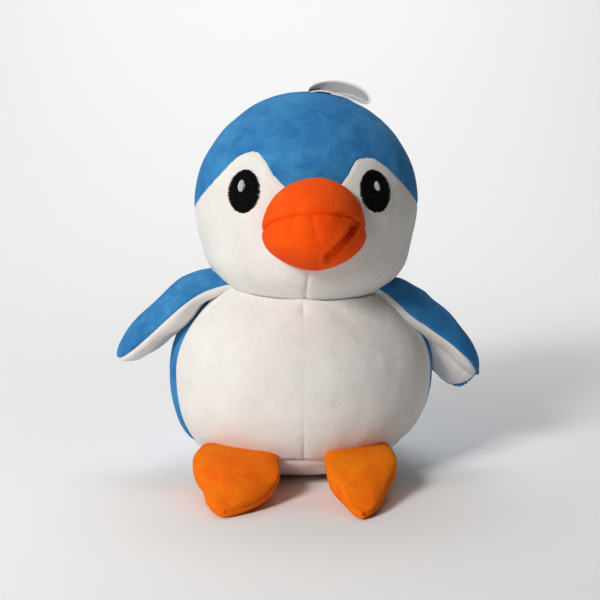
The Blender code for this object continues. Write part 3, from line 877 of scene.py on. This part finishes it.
def dent(points, start, end, depth, width):
    """How far cloth sinks along a straight fold, seen from the front, and swells beside it."""
    flat = np.stack([(points - PIVOT) @ SIDEWAYS, points[..., 2]], -1)
    start, end = np.array(start) * MM, np.array(end) * MM
    line = end - start
    share = np.clip(((flat - start) @ line) / (line @ line), 0, 1)
    gap = np.linalg.norm(flat - start - share[..., None] * line, axis=-1)
    return -depth * np.exp(-(gap / width)**2) + 0.12 * depth * np.exp(-((gap / width - 2.4) / 0.9)**2)


def beak_folds(points):
    """The deep fold at the lower beak's side, and shallow creases under the mouth."""
    front = np.clip(-(points[..., 1] + 66 * MM) / (6 * MM), 0, 1)
    aside = np.abs((points - PIVOT) @ SIDEWAYS)
    front = front * np.clip((29 * MM - aside) / (5 * MM), 0, 1)
    deep = dent(points, (24, 165), (7, 147), 4.6 * MM, 1.7 * MM)
    small = dent(points, (-14, 172), (-14, 163), 0.6 * MM, 1.6 * MM)
    small = small + dent(points, (-3, 172), (-1, 160), 0.5 * MM, 1.8 * MM)
    small = small + dent(points, (14, 171), (22, 165), 1.0 * MM, 2.5 * MM)
    return (deep + small) * front


# %% Blow up the beak and sew it
beak = beak_grid()
rows, columns = beak.shape[:2]
mouth_index = int(round((pi / 2 - MOUTH) / (2 * pi) * columns))
holds = np.zeros((rows, columns))
holds[:2] = 1
holds[-2:] = 1
holds[:, mouth_index] = 0.6
holds[:, columns // 2:] = 1
holds[:, 0] = 1
beak = finer(blow_up("beak", beak, holds, 2.5 * MM), 3)
mouth_column = 3 * mouth_index
rim_column = 3 * columns // 2
beak = sewn(beak, [0, mouth_column, rim_column], 2.3 * MM, 2.8 * MM, 60, beak_folds)
dress(pouch_panel("beak_upper_cloth", beak, 0, mouth_column, ORANGE), "head",
      ["beak_upper"])
dress(pouch_panel("beak_lower_cloth", beak, mouth_column, rim_column + 4, ORANGE), "head",
      ["beak_lower", "beak_filling"])

# %% [markdown]
# ## Wings
#
# A wing is a flat pouch: blue on top, white underneath, sewn round its edge and into the
# shoulder, just below the neck. It droops from the shoulder and straightens towards its tip.
# The right wing hangs lower and is twisted, so its white underside shows as two rolls with a
# valley between.

# %% Wing shape
# Each pair in a table is a share of the length, from the shoulder (0) to the tip (1), and a
# value there. In mm: middle (front to back), upper and lower (thickness). In degrees: angles
# (slope of the wing), front_rise and back_fall (bend of its section). valley is the depth of
# the hollow underneath, hang the lean of the rear half and rear its extra width.
WINGS = {
    "left": {"side": -1, "root": (45.5 * MM, -2 * MM, 121.2 * MM), "length": 88 * MM, "half": 21.5 * MM,
             "middle": [(0, -5), (0.3, -10), (1, -9)], "hang": None,
             "angles": [(-0.05, -4), (0, -8), (0.12, -16), (0.32, -36), (0.57, -43), (0.8, -41), (1, -35)],
             "front_rise": [(0, 4), (1, 8)], "back_fall": [(0, 15), (0.3, 34), (1, 24)],
             "upper": [(0, 7.5), (0.25, 11), (0.5, 10.5), (0.75, 10), (1, 7)],
             "lower": [(0, 6), (0.2, 9), (0.36, 13.5), (0.5, 14.5), (0.62, 12.5), (0.8, 12), (1, 11)],
             "valley": 0.25, "rear": 0.0},
    "right": {"side": 1, "root": (50.2 * MM, -2 * MM, 117.5 * MM), "length": 87.5 * MM, "half": 23 * MM,
              "middle": [(0, -8), (0.25, -9), (0.55, -5), (1, -2)], "hang": radians(27),
              "angles": [(-0.05, -34), (0.05, -36), (0.18, -46), (0.36, -33), (0.54, -37), (0.69, -42),
                         (0.79, -46), (0.88, -53), (1, -66)],
              "front_rise": [(0, -8), (0.1, -3), (0.25, 13), (0.4, 12), (1, 10)],
              "back_fall": [(0, 20), (0.25, 40), (0.45, 72), (1, 78)],
              "upper": [(0, 11), (0.12, 14), (0.22, 11.8), (0.34, 11), (0.5, 10.5), (0.7, 8), (1, 5)],
              "lower": [(0, 14), (0.12, 15), (0.3, 12.5), (0.5, 12), (1, 11)],
              "valley": 1.15, "rear": 0.26},
}
WING_START = -0.05           # the root starts a little inside the neck


def bent_section(c, rise, fall):
    """Places along a chord from front (-1) to back (1) that rises, bends and falls, and their slope."""
    steps = np.linspace(-1, 1, 121)
    t = np.clip((steps + 0.25) / 0.6, 0, 1)
    slope = -rise + (rise + fall) * (3 * t**2 - 2 * t**3)
    size = steps[1] - steps[0]
    level = -1 + np.cumsum(np.cos(slope), axis=-1) * size
    height = -np.cumsum(np.sin(slope), axis=-1) * size
    index = np.clip((c + 1) / size, 0, 119.999)
    low = index.astype(int)
    part = index - low
    row = np.arange(len(slope))[:, None]

    def at(values):
        return values[row, low] * (1 - part) + values[row, low + 1] * part
    return at(level), at(height), at(slope)


def wing_grid(shape, rows=30, columns=48):
    """Rows run from the neck to the tip; columns go round, over the top from back to front."""
    s = WING_START + (1 - WING_START) * np.sin(pi / 2 * np.linspace(0, 1, rows))
    fine = np.linspace(WING_START, 1, 400)
    angle = np.radians(smooth_curve(shape["angles"], fine))
    step = (fine[1] - fine[0]) * shape["length"]
    x = np.cumsum(np.cos(angle)) * step
    z = np.cumsum(np.sin(angle)) * step
    x = np.interp(s, fine, x) - np.interp(0, fine, x) + shape["root"][0]
    z = np.interp(s, fine, z) - np.interp(0, fine, z) + shape["root"][2]
    angle = np.interp(s, fine, angle)
    up = np.stack([-np.sin(angle), 0 * angle, np.cos(angle)], -1)[:, None, :]
    back = np.array([0, 1.0, 0])
    around = np.linspace(0, 2 * pi, columns, endpoint=False)[None, :]
    swell = np.sin(pi / 2 * np.clip((s + 0.05) / 0.45, 0, 1))[:, None]
    tip = np.sqrt(np.maximum(0, 1 - (np.maximum(s - 0.72, 0) / 0.28)**2.1))[:, None]
    wide = (0.85 + 0.15 * swell) * tip * shape["half"]
    rise = np.radians(smooth_curve(shape["front_rise"], s))[:, None]
    fall = np.radians(smooth_curve(shape["back_fall"], s))[:, None]
    c = np.broadcast_to(np.cos(around), (rows, columns))
    level, height, slope = bent_section(c, rise, fall)
    blunt = np.sqrt(np.maximum(0, 1 - (np.maximum(s - 0.76, 0) / 0.24)**2.2))[:, None] * shape["half"]
    behind = np.clip(c * 1.6, 0, 1) * np.clip((s - 0.4) / 0.3, 0, 1)[:, None] * (shape["rear"] > 0)
    wide = wide + (blunt * (1 + shape["rear"]) - wide) * behind
    upper = smooth_curve(shape["upper"], s)[:, None] * MM
    lower = smooth_curve(shape["lower"], s)[:, None] * MM
    valley = shape["valley"] * swell * np.clip((1 - s) / 0.2, 0, 1)[:, None]
    lower = lower * (1 - valley * np.exp(-((c + 0.08) / 0.22)**2))
    thick = np.where(np.sin(around) > 0, upper, lower) * tip**0.8 * np.sin(around)
    centre = np.stack([x, smooth_curve(shape["middle"], s) * MM, z], -1)[:, None, :]
    grid = centre + back * (level * wide + thick * np.sin(slope))[..., None]
    down = up
    if shape["hang"] is not None:
        plumb = np.array([sin(shape["hang"]), 0, cos(shape["hang"])])
        down = up + (plumb - up) * np.clip((s - 0.35) / 0.3, 0, 1)[:, None, None]
    grid = grid + up * (thick * np.cos(slope))[..., None] + down * (height * wide)[..., None]
    grid[..., 0] *= shape["side"]
    return grid, s


def settle_wing(grid, s):
    """Lay the wing's root on the body and keep it clear of the head."""
    near = np.clip(1 - (s - WING_START) / 0.32, 0, 1)[:, None]
    x, y = grid[..., 0], grid[..., 1]
    deep = np.where(y < 0, BODY_FRONT, BODY_BACK)
    height = np.sqrt(np.maximum(1 - (x / BODY_HALF)**2 - (y / deep)**2, 0))
    below = grid[..., 2] - (BODY_MIDDLE + BODY_UP * height)
    half = grid.shape[1] // 2
    under = np.zeros(grid.shape[1])
    under[half:] = np.sin(np.linspace(0, pi, grid.shape[1] - half))**0.5
    grid[..., 2] -= np.maximum(below, 0) * near * under
    grid = clear_of_body(grid, 0.3 * MM)
    return clear_of_head(grid, 0.7 * MM)


# %% Blow up the wings and sew them
for side, shape in WINGS.items():
    grid, s = wing_grid(shape)
    rows, columns = grid.shape[:2]
    holds = np.zeros((rows, columns))
    holds[:6] = 1
    holds[:, 0] = 1
    holds[:, columns // 2] = 1
    closed = grid.copy()
    closed[0] = grid[0].mean(axis=0)
    filled = blow_up("wing_" + side, closed, holds, 1.8 * MM, pressure=3.0)
    filled[0] = grid[0]
    filled = finer(settle_wing(filled, s), 3)
    last = filled.shape[1] - 1
    half = last // 2
    filled = sewn(filled, [0, half, last], 0.9 * MM, 3.0 * MM, 70)
    node = "wing_" + side
    for part, first, end, colour, nodes in (
            ("outer", 0, half, BLUE, [node + "_outer", node + "_filling"]),
            ("inner", half, last, WHITE, [node + "_inner"])):
        cloth = pouch_panel(node + "_" + part + "_cloth", filled, first, end, colour)
        edge = np.array(joint[node + "_flap"]["pos_m"])
        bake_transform(cloth)
        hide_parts(*nodes)
        print(cloth.name, "faces", len(cloth.data.polygons))

# %% [markdown]
# ## Feet
#
# A foot is a pear-shaped pouch, broad where it is sewn under the belly and narrow at the toe.
# Its top and sole meet in a seam that starts high at the belly and comes down to the floor at
# the toe, so from the front each foot is a sloping face. The top is well stuffed and the sole
# lies flat, so only the top is allowed to bulge.

# %% Foot shape
# Each pair is a distance forward (y, in mm) and a value there in mm: the height of the seam,
# and how far the inner and outer edges lie from the toy's middle. FOOT_TOP is the height of
# the top. roll lifts the inner edge.
FOOT_TUCK = -2.5 * MM        # the foot's back runs this far under the belly's cloth
FEET = {
    "left": {"side": -1, "toe": -110.5, "roll": 0.02,
             "seam": [(-112, 3.6), (-105, 5), (-98, 7.5), (-91, 12), (-85, 16.5), (-76, 20), (-50, 21)],
             "inner": [(-110, 36), (-106, 32), (-102, 28), (-97, 23), (-92, 19), (-86, 15.5),
                       (-72, 15), (-50, 15.5)],
             "outer": [(-110, 58), (-104, 57.5), (-98, 58.5), (-90, 60.5), (-84, 63.5), (-76, 66.5),
                       (-68, 67), (-50, 64)]},
    "right": {"side": 1, "toe": -116, "roll": 0.10,
              "seam": [(-117, 3.4), (-110, 4.4), (-104, 5.5), (-98, 8), (-92, 11.5), (-86, 15.5),
                       (-78, 18.5), (-50, 20)],
              "inner": [(-117, 24), (-108, 22.5), (-104, 21.5), (-98, 19), (-92, 15.5), (-86, 13),
                        (-78, 12.5), (-50, 13)],
              "outer": [(-117, 40), (-108, 42.5), (-102, 44.5), (-96, 47), (-90, 49.5), (-84, 52.5),
                        (-78, 55), (-70, 56), (-50, 55)]},
}
FOOT_TOP = [(-117, 5.5), (-110, 9), (-104, 12.5), (-97, 16), (-91, 19), (-85, 22), (-76, 25), (-66, 26.5),
            (-50, 26.5)]
FOOT_BACK = -50


def foot_grid(shape, rows=30, columns=48):
    """Rows run from under the belly to the toe; columns go round, over the top."""
    share = np.sin(pi / 2 * np.linspace(0, 1, rows))
    y = FOOT_BACK + (shape["toe"] - FOOT_BACK) * share
    inner, outer = smooth_curve(shape["inner"], y), smooth_curve(shape["outer"], y)
    toe = np.sqrt(np.maximum(0, 1 - (np.maximum(share - 0.72, 0) / 0.28)**3))
    centre = ((inner + outer) / 2 * MM)[:, None]
    half = ((outer - inner) / 2 * toe * MM)[:, None]
    around = np.linspace(0, 2 * pi, columns, endpoint=False)[None, :]
    q = np.cos(around)
    x = centre + half * q
    seam = smooth_curve(shape["seam"], y)[:, None] * MM
    crown = np.maximum(smooth_curve(FOOT_TOP, y)[:, None] * MM + 0.03 * (x - 39 * MM) - seam, 1.5 * MM)
    square = (8 - 5.5 * share)[:, None]
    lift = crown * toe[:, None]**0.6 * np.sqrt(np.maximum(0, 1 - np.abs(q)**square))
    raised = shape["roll"] * (outer.max() * MM - x) * np.clip((share - 0.1) / 0.3, 0, 1)[:, None]
    raised = raised * (1 - 0.8 * np.clip((share - 0.6) / 0.4, 0, 1))[:, None]
    edge = seam + raised
    drop = (edge - 0.5 * MM) * np.sqrt(np.maximum(0, 1 - np.abs(q)**3.5))
    z = edge + np.where(np.sin(around) > 0, lift, -drop)
    y = np.broadcast_to(y[:, None] * MM, x.shape)
    return np.stack([shape["side"] * x, y, z], -1)


# %% Blow up the feet and sew them
for side, shape in FEET.items():
    grid = clear_of_body(foot_grid(shape), FOOT_TUCK)
    rows, columns = grid.shape[:2]
    holds = np.zeros((rows, columns))
    holds[:, 0] = 0.8
    holds[:, columns // 2] = 0.8
    holds[:, columns // 2 + 2:-1] = 1
    holds = np.maximum(holds, np.clip((grid[..., 1] + 74 * MM) / (6 * MM), 0, 1))
    closed = grid.copy()
    closed[0] = grid[0].mean(axis=0)
    filled = blow_up("foot_" + side, closed, holds, 2.0 * MM, pressure=3.0)
    filled[0] = grid[0]
    filled = finer(clear_of_body(filled, FOOT_TUCK), 3)
    last = filled.shape[1] - 1
    half = last // 2
    filled = sewn(filled, [0, half, last], 0.6 * MM, 2.4 * MM, 80,
                  calm=lambda points: np.clip((-70 * MM - points[..., 1]) / (8 * MM), 0, 1))
    filled[..., 2] = np.maximum(filled[..., 2], 0.2 * MM)
    node = "foot_" + side
    for part, first, end, nodes in (("top", 0, half, [node + "_top", node + "_filling"]),
                                    ("sole", half, last, [node + "_sole"])):
        # The feet wear the copy of the orange plush that is painted lighter, as painted light.
        cloth = pouch_panel(node + "_" + part + "_cloth", filled, first, end, ORANGE_PAINTED_LIT)
        dress(cloth, node, nodes)

# %% [markdown]
# ## Eyes
#
# The eyes are embroidered: rows of black thread laid side by side across an oval, with a small
# white oval on top for the light in the eye. One stitch is modelled as a short rounded bar. It
# is then copied for every row, each copy as long as the oval is wide there and laid on the
# head's curve. The ends are a little uneven, as on the machine.

# %% Thread materials
def thread(name, colour, gloss):
    """Twisted embroidery thread: fine darker gaps across its run and a soft gloss."""
    made, tree, shader = new_material(name)
    place = new_node(tree, "ShaderNodeTexCoord")
    fine = new_node(tree, "ShaderNodeTexNoise", Scale=1900.0, Detail=2.0)
    tint = new_node(tree, "ShaderNodeMix", data_type="RGBA")
    colours(tint.inputs)[0].default_value = (*[c * 0.45 for c in colour], 1)
    colours(tint.inputs)[1].default_value = (*[min(1, c * 1.5) for c in colour], 1)
    link = tree.links.new
    link(place.outputs["Object"], fine.inputs["Vector"])
    link(fine.outputs["Fac"], tint.inputs["Factor"])
    link(colours(tint.outputs)[0], shader.inputs["Base Color"])
    relieve(tree, shader, fine.outputs["Fac"], 0.35, 0.3 * MM)
    shader.inputs["Roughness"].default_value = gloss
    shader.inputs["Specular IOR Level"].default_value = 0.12
    return made


BLACK_THREAD = thread("black_thread", (0.0009, 0.0009, 0.0012), 0.85)
WHITE_THREAD = thread("white_thread", (0.55, 0.55, 0.56), 0.45)
SEWING_THREAD = thread("sewing_thread", (0.62, 0.60, 0.56), 0.6)


# %% One stitch
def one_stitch():
    """A thread lying along X from -1 to 1, round across, with rounded ends."""
    deselect()
    bpy.ops.mesh.primitive_cylinder_add(vertices=6, radius=1, depth=2, rotation=(0, pi / 2, 0))
    stitch = bpy.context.object
    bpy.ops.object.transform_apply(location=True, rotation=True, scale=True)
    mesh = stitch.data
    bpy.ops.object.mode_set(mode="EDIT")
    bpy.ops.mesh.select_all(action="DESELECT")
    bpy.ops.object.mode_set(mode="OBJECT")
    for edge in mesh.edges:
        ends = [mesh.vertices[v].co.x for v in edge.vertices]
        edge.select = abs(ends[0] - ends[1]) > 1
    bpy.ops.object.mode_set(mode="EDIT")
    bpy.ops.mesh.select_mode(type="EDGE")
    bpy.ops.mesh.subdivide(number_cuts=9)
    bpy.ops.object.mode_set(mode="OBJECT")
    points = np.array([v.co for v in mesh.vertices])
    faces = [list(f.vertices) for f in mesh.polygons]
    bpy.data.objects.remove(stitch, do_unlink=True)
    return points, faces


STITCH_POINTS, STITCH_FACES = one_stitch()
print("one stitch:", len(STITCH_FACES), "faces")


# %% Embroider an oval on the head
def embroider(name, node, tilt, half, pitch, raised, upright, material, seed, aside=0.0):
    """Rows of stitches that fill an oval, centred on a CAD node or a little aside of it."""
    low, high = (np.array(c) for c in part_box(node))
    away = (low + high) / 2 - PIVOT
    turn = atan2(away[0], -away[1]) - HEAD_TURN + aside / HEAD_HALF
    lift = asin(away[2] / np.linalg.norm(away))
    chance = np.random.RandomState(seed)
    across, along = (half[1], half[0]) if not upright else half
    rows = int(2 * across / pitch)
    points, faces = [], []
    for row in range(rows + 1):
        level = -across + 2 * across * row / rows
        reach = along * sqrt(max(0.0, 1 - (level / (across + pitch / 2))**2))
        left = -reach - chance.uniform(-0.25, 0.45) * MM
        right = reach + chance.uniform(-0.25, 0.45) * MM
        q = STITCH_POINTS
        end = np.sqrt(np.maximum(0, 1 - (np.abs(q[:, 0]) - 0.9).clip(0) / 0.1 * 0.8))
        run = (left + right) / 2 + q[:, 0] * (right - left) / 2
        side = level + q[:, 1] * 0.56 * pitch * end + chance.uniform(-0.1, 0.1) * MM
        dome = 1 - 0.5 * (level / across)**2
        arch = np.sqrt(np.maximum(0, 1 - (run / (reach + 0.6 * MM))**2))
        out = raised * (0.15 + 0.85 * arch * dome) + q[:, 2] * 0.56 * pitch * end
        a, b = (run, side) if not upright else (side, run)
        a, b = a * cos(tilt) - b * sin(tilt), a * sin(tilt) + b * cos(tilt)
        radius = head_radius(lift + b / HEAD_HALF)
        laid = head_at(turn + a / (radius * cos(lift)), lift + b / radius, out)
        base = sum(len(p) for p in points)
        points.append(laid)
        faces += [[base + i for i in face] for face in STITCH_FACES]
    obj = add_mesh(name, np.concatenate(points), faces, material)
    face_out(obj)
    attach(obj, "head")
    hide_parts(node)
    print(name, "rows", rows + 1)
    return obj


EYE_HALF = (11.4 * MM, 12.3 * MM)
# Side, tilt, half size of the glint, and how far eye and glint sit aside of their CAD nodes.
EYES = [("left", radians(-2), (2.1 * MM, 3.6 * MM), -0.8 * MM, -0.8 * MM),
        ("right", radians(14), (1.9 * MM, 2.8 * MM), 0.3 * MM, 2.4 * MM)]
for side_name, tilt, glint_half, eye_aside, glint_aside in EYES:
    eye = embroider("eye_%s_thread" % side_name, "eye_" + side_name, tilt, EYE_HALF,
                    0.62 * MM, 1.0 * MM, False, BLACK_THREAD, 5, eye_aside)
    glint = embroider("eye_%s_glint_thread" % side_name, "eye_%s_highlight" % side_name, tilt,
                      glint_half, 0.55 * MM, 1.9 * MM, True, WHITE_THREAD, 6, glint_aside)

# %% [markdown]
# ## Hanging loop
#
# A satin ribbon is folded in half and its two ends are sewn into the crown. It has lain flat
# on the head, so its lower half follows the head and its upper half arches over. It is a
# strip swept along that path, with a corded edge on each side, and it swings as one piece.

# %% Ribbon
# The loop's path in mm, and the ribbon's tilt in degrees at shares of its length.
LOOP_PATH = [(5.5, -1, 239.8), (12, -1.5, 240.8), (22, -1.5, 239.2), (31, -1.5, 236.2), (38, -1.5, 233.6),
             (42.0, -0.5, 233.2), (42.8, 0.5, 235.2), (39.0, 1.5, 238.2), (32, 2.2, 241.1),
             (24, 2.6, 242.9), (15, 2.2, 242.8), (8, 1, 241.6), (4.8, 0, 240.6)]
RIBBON_HALF = 5 * MM
RIBBON_THICK = 0.5 * MM
RIBBON_TILT = [(0, 0), (0.2, 6), (0.4, 2), (0.48, -10), (0.58, -42), (0.7, -54), (0.85, -50), (1, -15)]

knots = np.array(LOOP_PATH)[:, None, :] * MM
path = between(knots, 10)[:, 0]
ahead = np.gradient(path, axis=0)
ahead = ahead / np.linalg.norm(ahead, axis=1, keepdims=True)
tilt = np.radians(smooth_curve(RIBBON_TILT, np.linspace(0, 1, len(path))))
wide = np.stack([0 * tilt, np.cos(tilt), np.sin(tilt)], -1)
face_up = np.cross(ahead, wide)
face_up = face_up / np.linalg.norm(face_up, axis=1, keepdims=True)
across = np.linspace(-1, 1, 17)
cord = 0.40 * MM * np.exp(-((np.abs(across) - 0.93) / 0.08)**2)
weave = 0.10 * MM * np.sin(np.arange(len(path)) * 1.9)[:, None] * (np.abs(across) > 0.8)[None, :]
flat = path[:, None] + wide[:, None] * (across * RIBBON_HALF)[None, :, None]
half_thick = face_up[:, None] * (RIBBON_THICK / 2 + cord[None, :] + weave)[..., None]
band = np.concatenate([flat + half_thick, (flat - half_thick)[:, ::-1]], axis=1)
count, around = band.shape[:2]
index = np.arange(count * around).reshape(count, around)
turned = np.roll(index, -1, axis=1)
faces = np.stack([index[:-1], turned[:-1], turned[1:], index[1:]], -1).reshape(-1, 4).tolist()
faces += [index[0][::-1].tolist(), index[-1].tolist()]

# The ribbon itself is white all over. Its satin is painted a mid grey, painted shade for the shade inside
# the loop, and its edges are painted lighter, a painted highlight.
satin, tree, shader = new_material("satin_ribbon")
place = new_node(tree, "ShaderNodeTexCoord")
threads = new_node(tree, "ShaderNodeTexWave", Scale=420.0, Distortion=0.6)
rim = new_node(tree, "ShaderNodeAttribute", attribute_name="painted_lit_edge")
tint = new_node(tree, "ShaderNodeMapRange", **{"To Min": 0.50, "To Max": 0.64})
painted_edge_light = sum_node(tree, "MULTIPLY_ADD", 0.36)
tree.links.new(place.outputs["Object"], threads.inputs["Vector"])
tree.links.new(threads.outputs["Fac"], tint.inputs["Value"])
tree.links.new(rim.outputs["Fac"], painted_edge_light.inputs[0])
tree.links.new(tint.outputs["Result"], painted_edge_light.inputs[2])
tree.links.new(painted_edge_light.outputs["Value"], shader.inputs["Base Color"])
relieve(tree, shader, threads.outputs["Fac"], 0.4, 0.2 * MM)
shader.inputs["Roughness"].default_value = 0.38
shader.inputs["Anisotropic"].default_value = 0.5

ribbon = add_mesh("hanging_loop_ribbon", band.reshape(-1, 3), faces, satin)
# Points near both edges get the lighter colour of the painted highlight.
lit_edge_paint = np.tile(np.concatenate([np.abs(across) > 0.68] * 2).astype(float), count)
ribbon.data.attributes.new("painted_lit_edge", "FLOAT", "POINT").data.foreach_set("value", lit_edge_paint)
face_out(ribbon)
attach(ribbon, "hanging_loop")
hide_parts("hanging_loop")

# %% [markdown]
# ## Closing stitches
#
# After stuffing, the opening in the back seam is closed by hand. A few thread loops stay
# visible across the seam. One loop is a thin ring, halved in edit mode and copied down the
# seam, each copy sunk into the pile.

# %% Stitches in the back seam
stitch_low, stitch_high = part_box("closing_stitches")
stitch_count = 8
deselect()
bpy.ops.mesh.primitive_torus_add(major_radius=2.4 * MM, minor_radius=0.35 * MM, major_segments=20,
                                 minor_segments=8, location=(0, 0, 0), rotation=(0, 0, 0))
loop = bpy.context.object
bpy.ops.object.mode_set(mode="EDIT")
bpy.ops.mesh.select_all(action="SELECT")
bpy.ops.mesh.bisect(plane_co=(0, 0, 0), plane_no=(0, 1, 0), use_fill=True, clear_inner=True)
bpy.ops.mesh.select_all(action="SELECT")
bpy.ops.transform.resize(value=(1, 0.55, 1))
bpy.ops.object.mode_set(mode="OBJECT")
loops = []
for number in range(stitch_count):
    height = stitch_low[2] + (stitch_high[2] - stitch_low[2]) * (number + 0.5) / stitch_count
    if height > BODY_MIDDLE:
        spot = Vector(body_at(pi, asin(min(1.0, (height - BODY_MIDDLE) / BODY_UP))))
    else:
        ring = float(ring_of_body(np.array(height), 0.0))
        spot = Vector((0, BODY_BACK * ring, height))
    copy = loop.copy()
    copy.data = loop.data.copy()
    bpy.context.scene.collection.objects.link(copy)
    copy.data.transform(Matrix.Translation(spot - Vector((0, 1.4 * MM, 0))))
    loops.append(copy)
bpy.data.objects.remove(loop, do_unlink=True)
deselect()
for copy in loops:
    copy.select_set(True)
bpy.context.view_layer.objects.active = loops[0]
bpy.ops.object.join()
closing = bpy.context.object
closing.name = "closing_stitches_thread"
closing.data.materials.clear()
closing.data.materials.append(SEWING_THREAD)
bpy.ops.object.shade_smooth()
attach(closing, "root")
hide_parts("closing_stitches")
print("closing stitches:", stitch_count)

# %% [markdown]
# ## Neck stuffing
#
# Inside the neck the head and the body share one wad of fibre. Nothing of it shows from
# outside. It is a ball squeezed to the neck's CAD box and made lumpy, as teased fibre is.

# %% Fibre finish
fibre, tree, shader = new_material("stuffing_fibre")
place = new_node(tree, "ShaderNodeTexCoord")
strands = new_node(tree, "ShaderNodeTexNoise", Scale=260.0, Detail=6.0, Roughness=0.7, Distortion=2.0)
tint = new_node(tree, "ShaderNodeMapRange", **{"To Min": 0.7, "To Max": 0.92})
tree.links.new(place.outputs["Object"], strands.inputs["Vector"])
tree.links.new(strands.outputs["Fac"], tint.inputs["Value"])
tree.links.new(tint.outputs["Result"], shader.inputs["Base Color"])
relieve(tree, shader, strands.outputs["Fac"], 0.8, 2 * MM)
shader.inputs["Roughness"].default_value = 0.95

# %% Wad of fibre
wad_low, wad_high = (np.array(corner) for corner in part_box("neck_filling"))
wad_turn = np.linspace(0, 2 * pi, 97)[None, :]
wad_lift = np.linspace(-pi / 2, pi / 2, 49)[:, None]
wad_way = np.stack([np.cos(wad_lift) * np.cos(wad_turn), np.cos(wad_lift) * np.sin(wad_turn),
                    np.sin(wad_lift) + 0 * wad_turn], -1)
lumps = 1 - 0.05 * (1 + noise(wad_way, 0.45, 90)) - 0.02 * (1 + noise(wad_way, 0.15, 91))
wad = (wad_low + wad_high) / 2 + wad_way * lumps[..., None] * (wad_high - wad_low) / 2
dress(panel("neck_stuffing_wad", wad, fibre), "neck", ["neck_filling"])
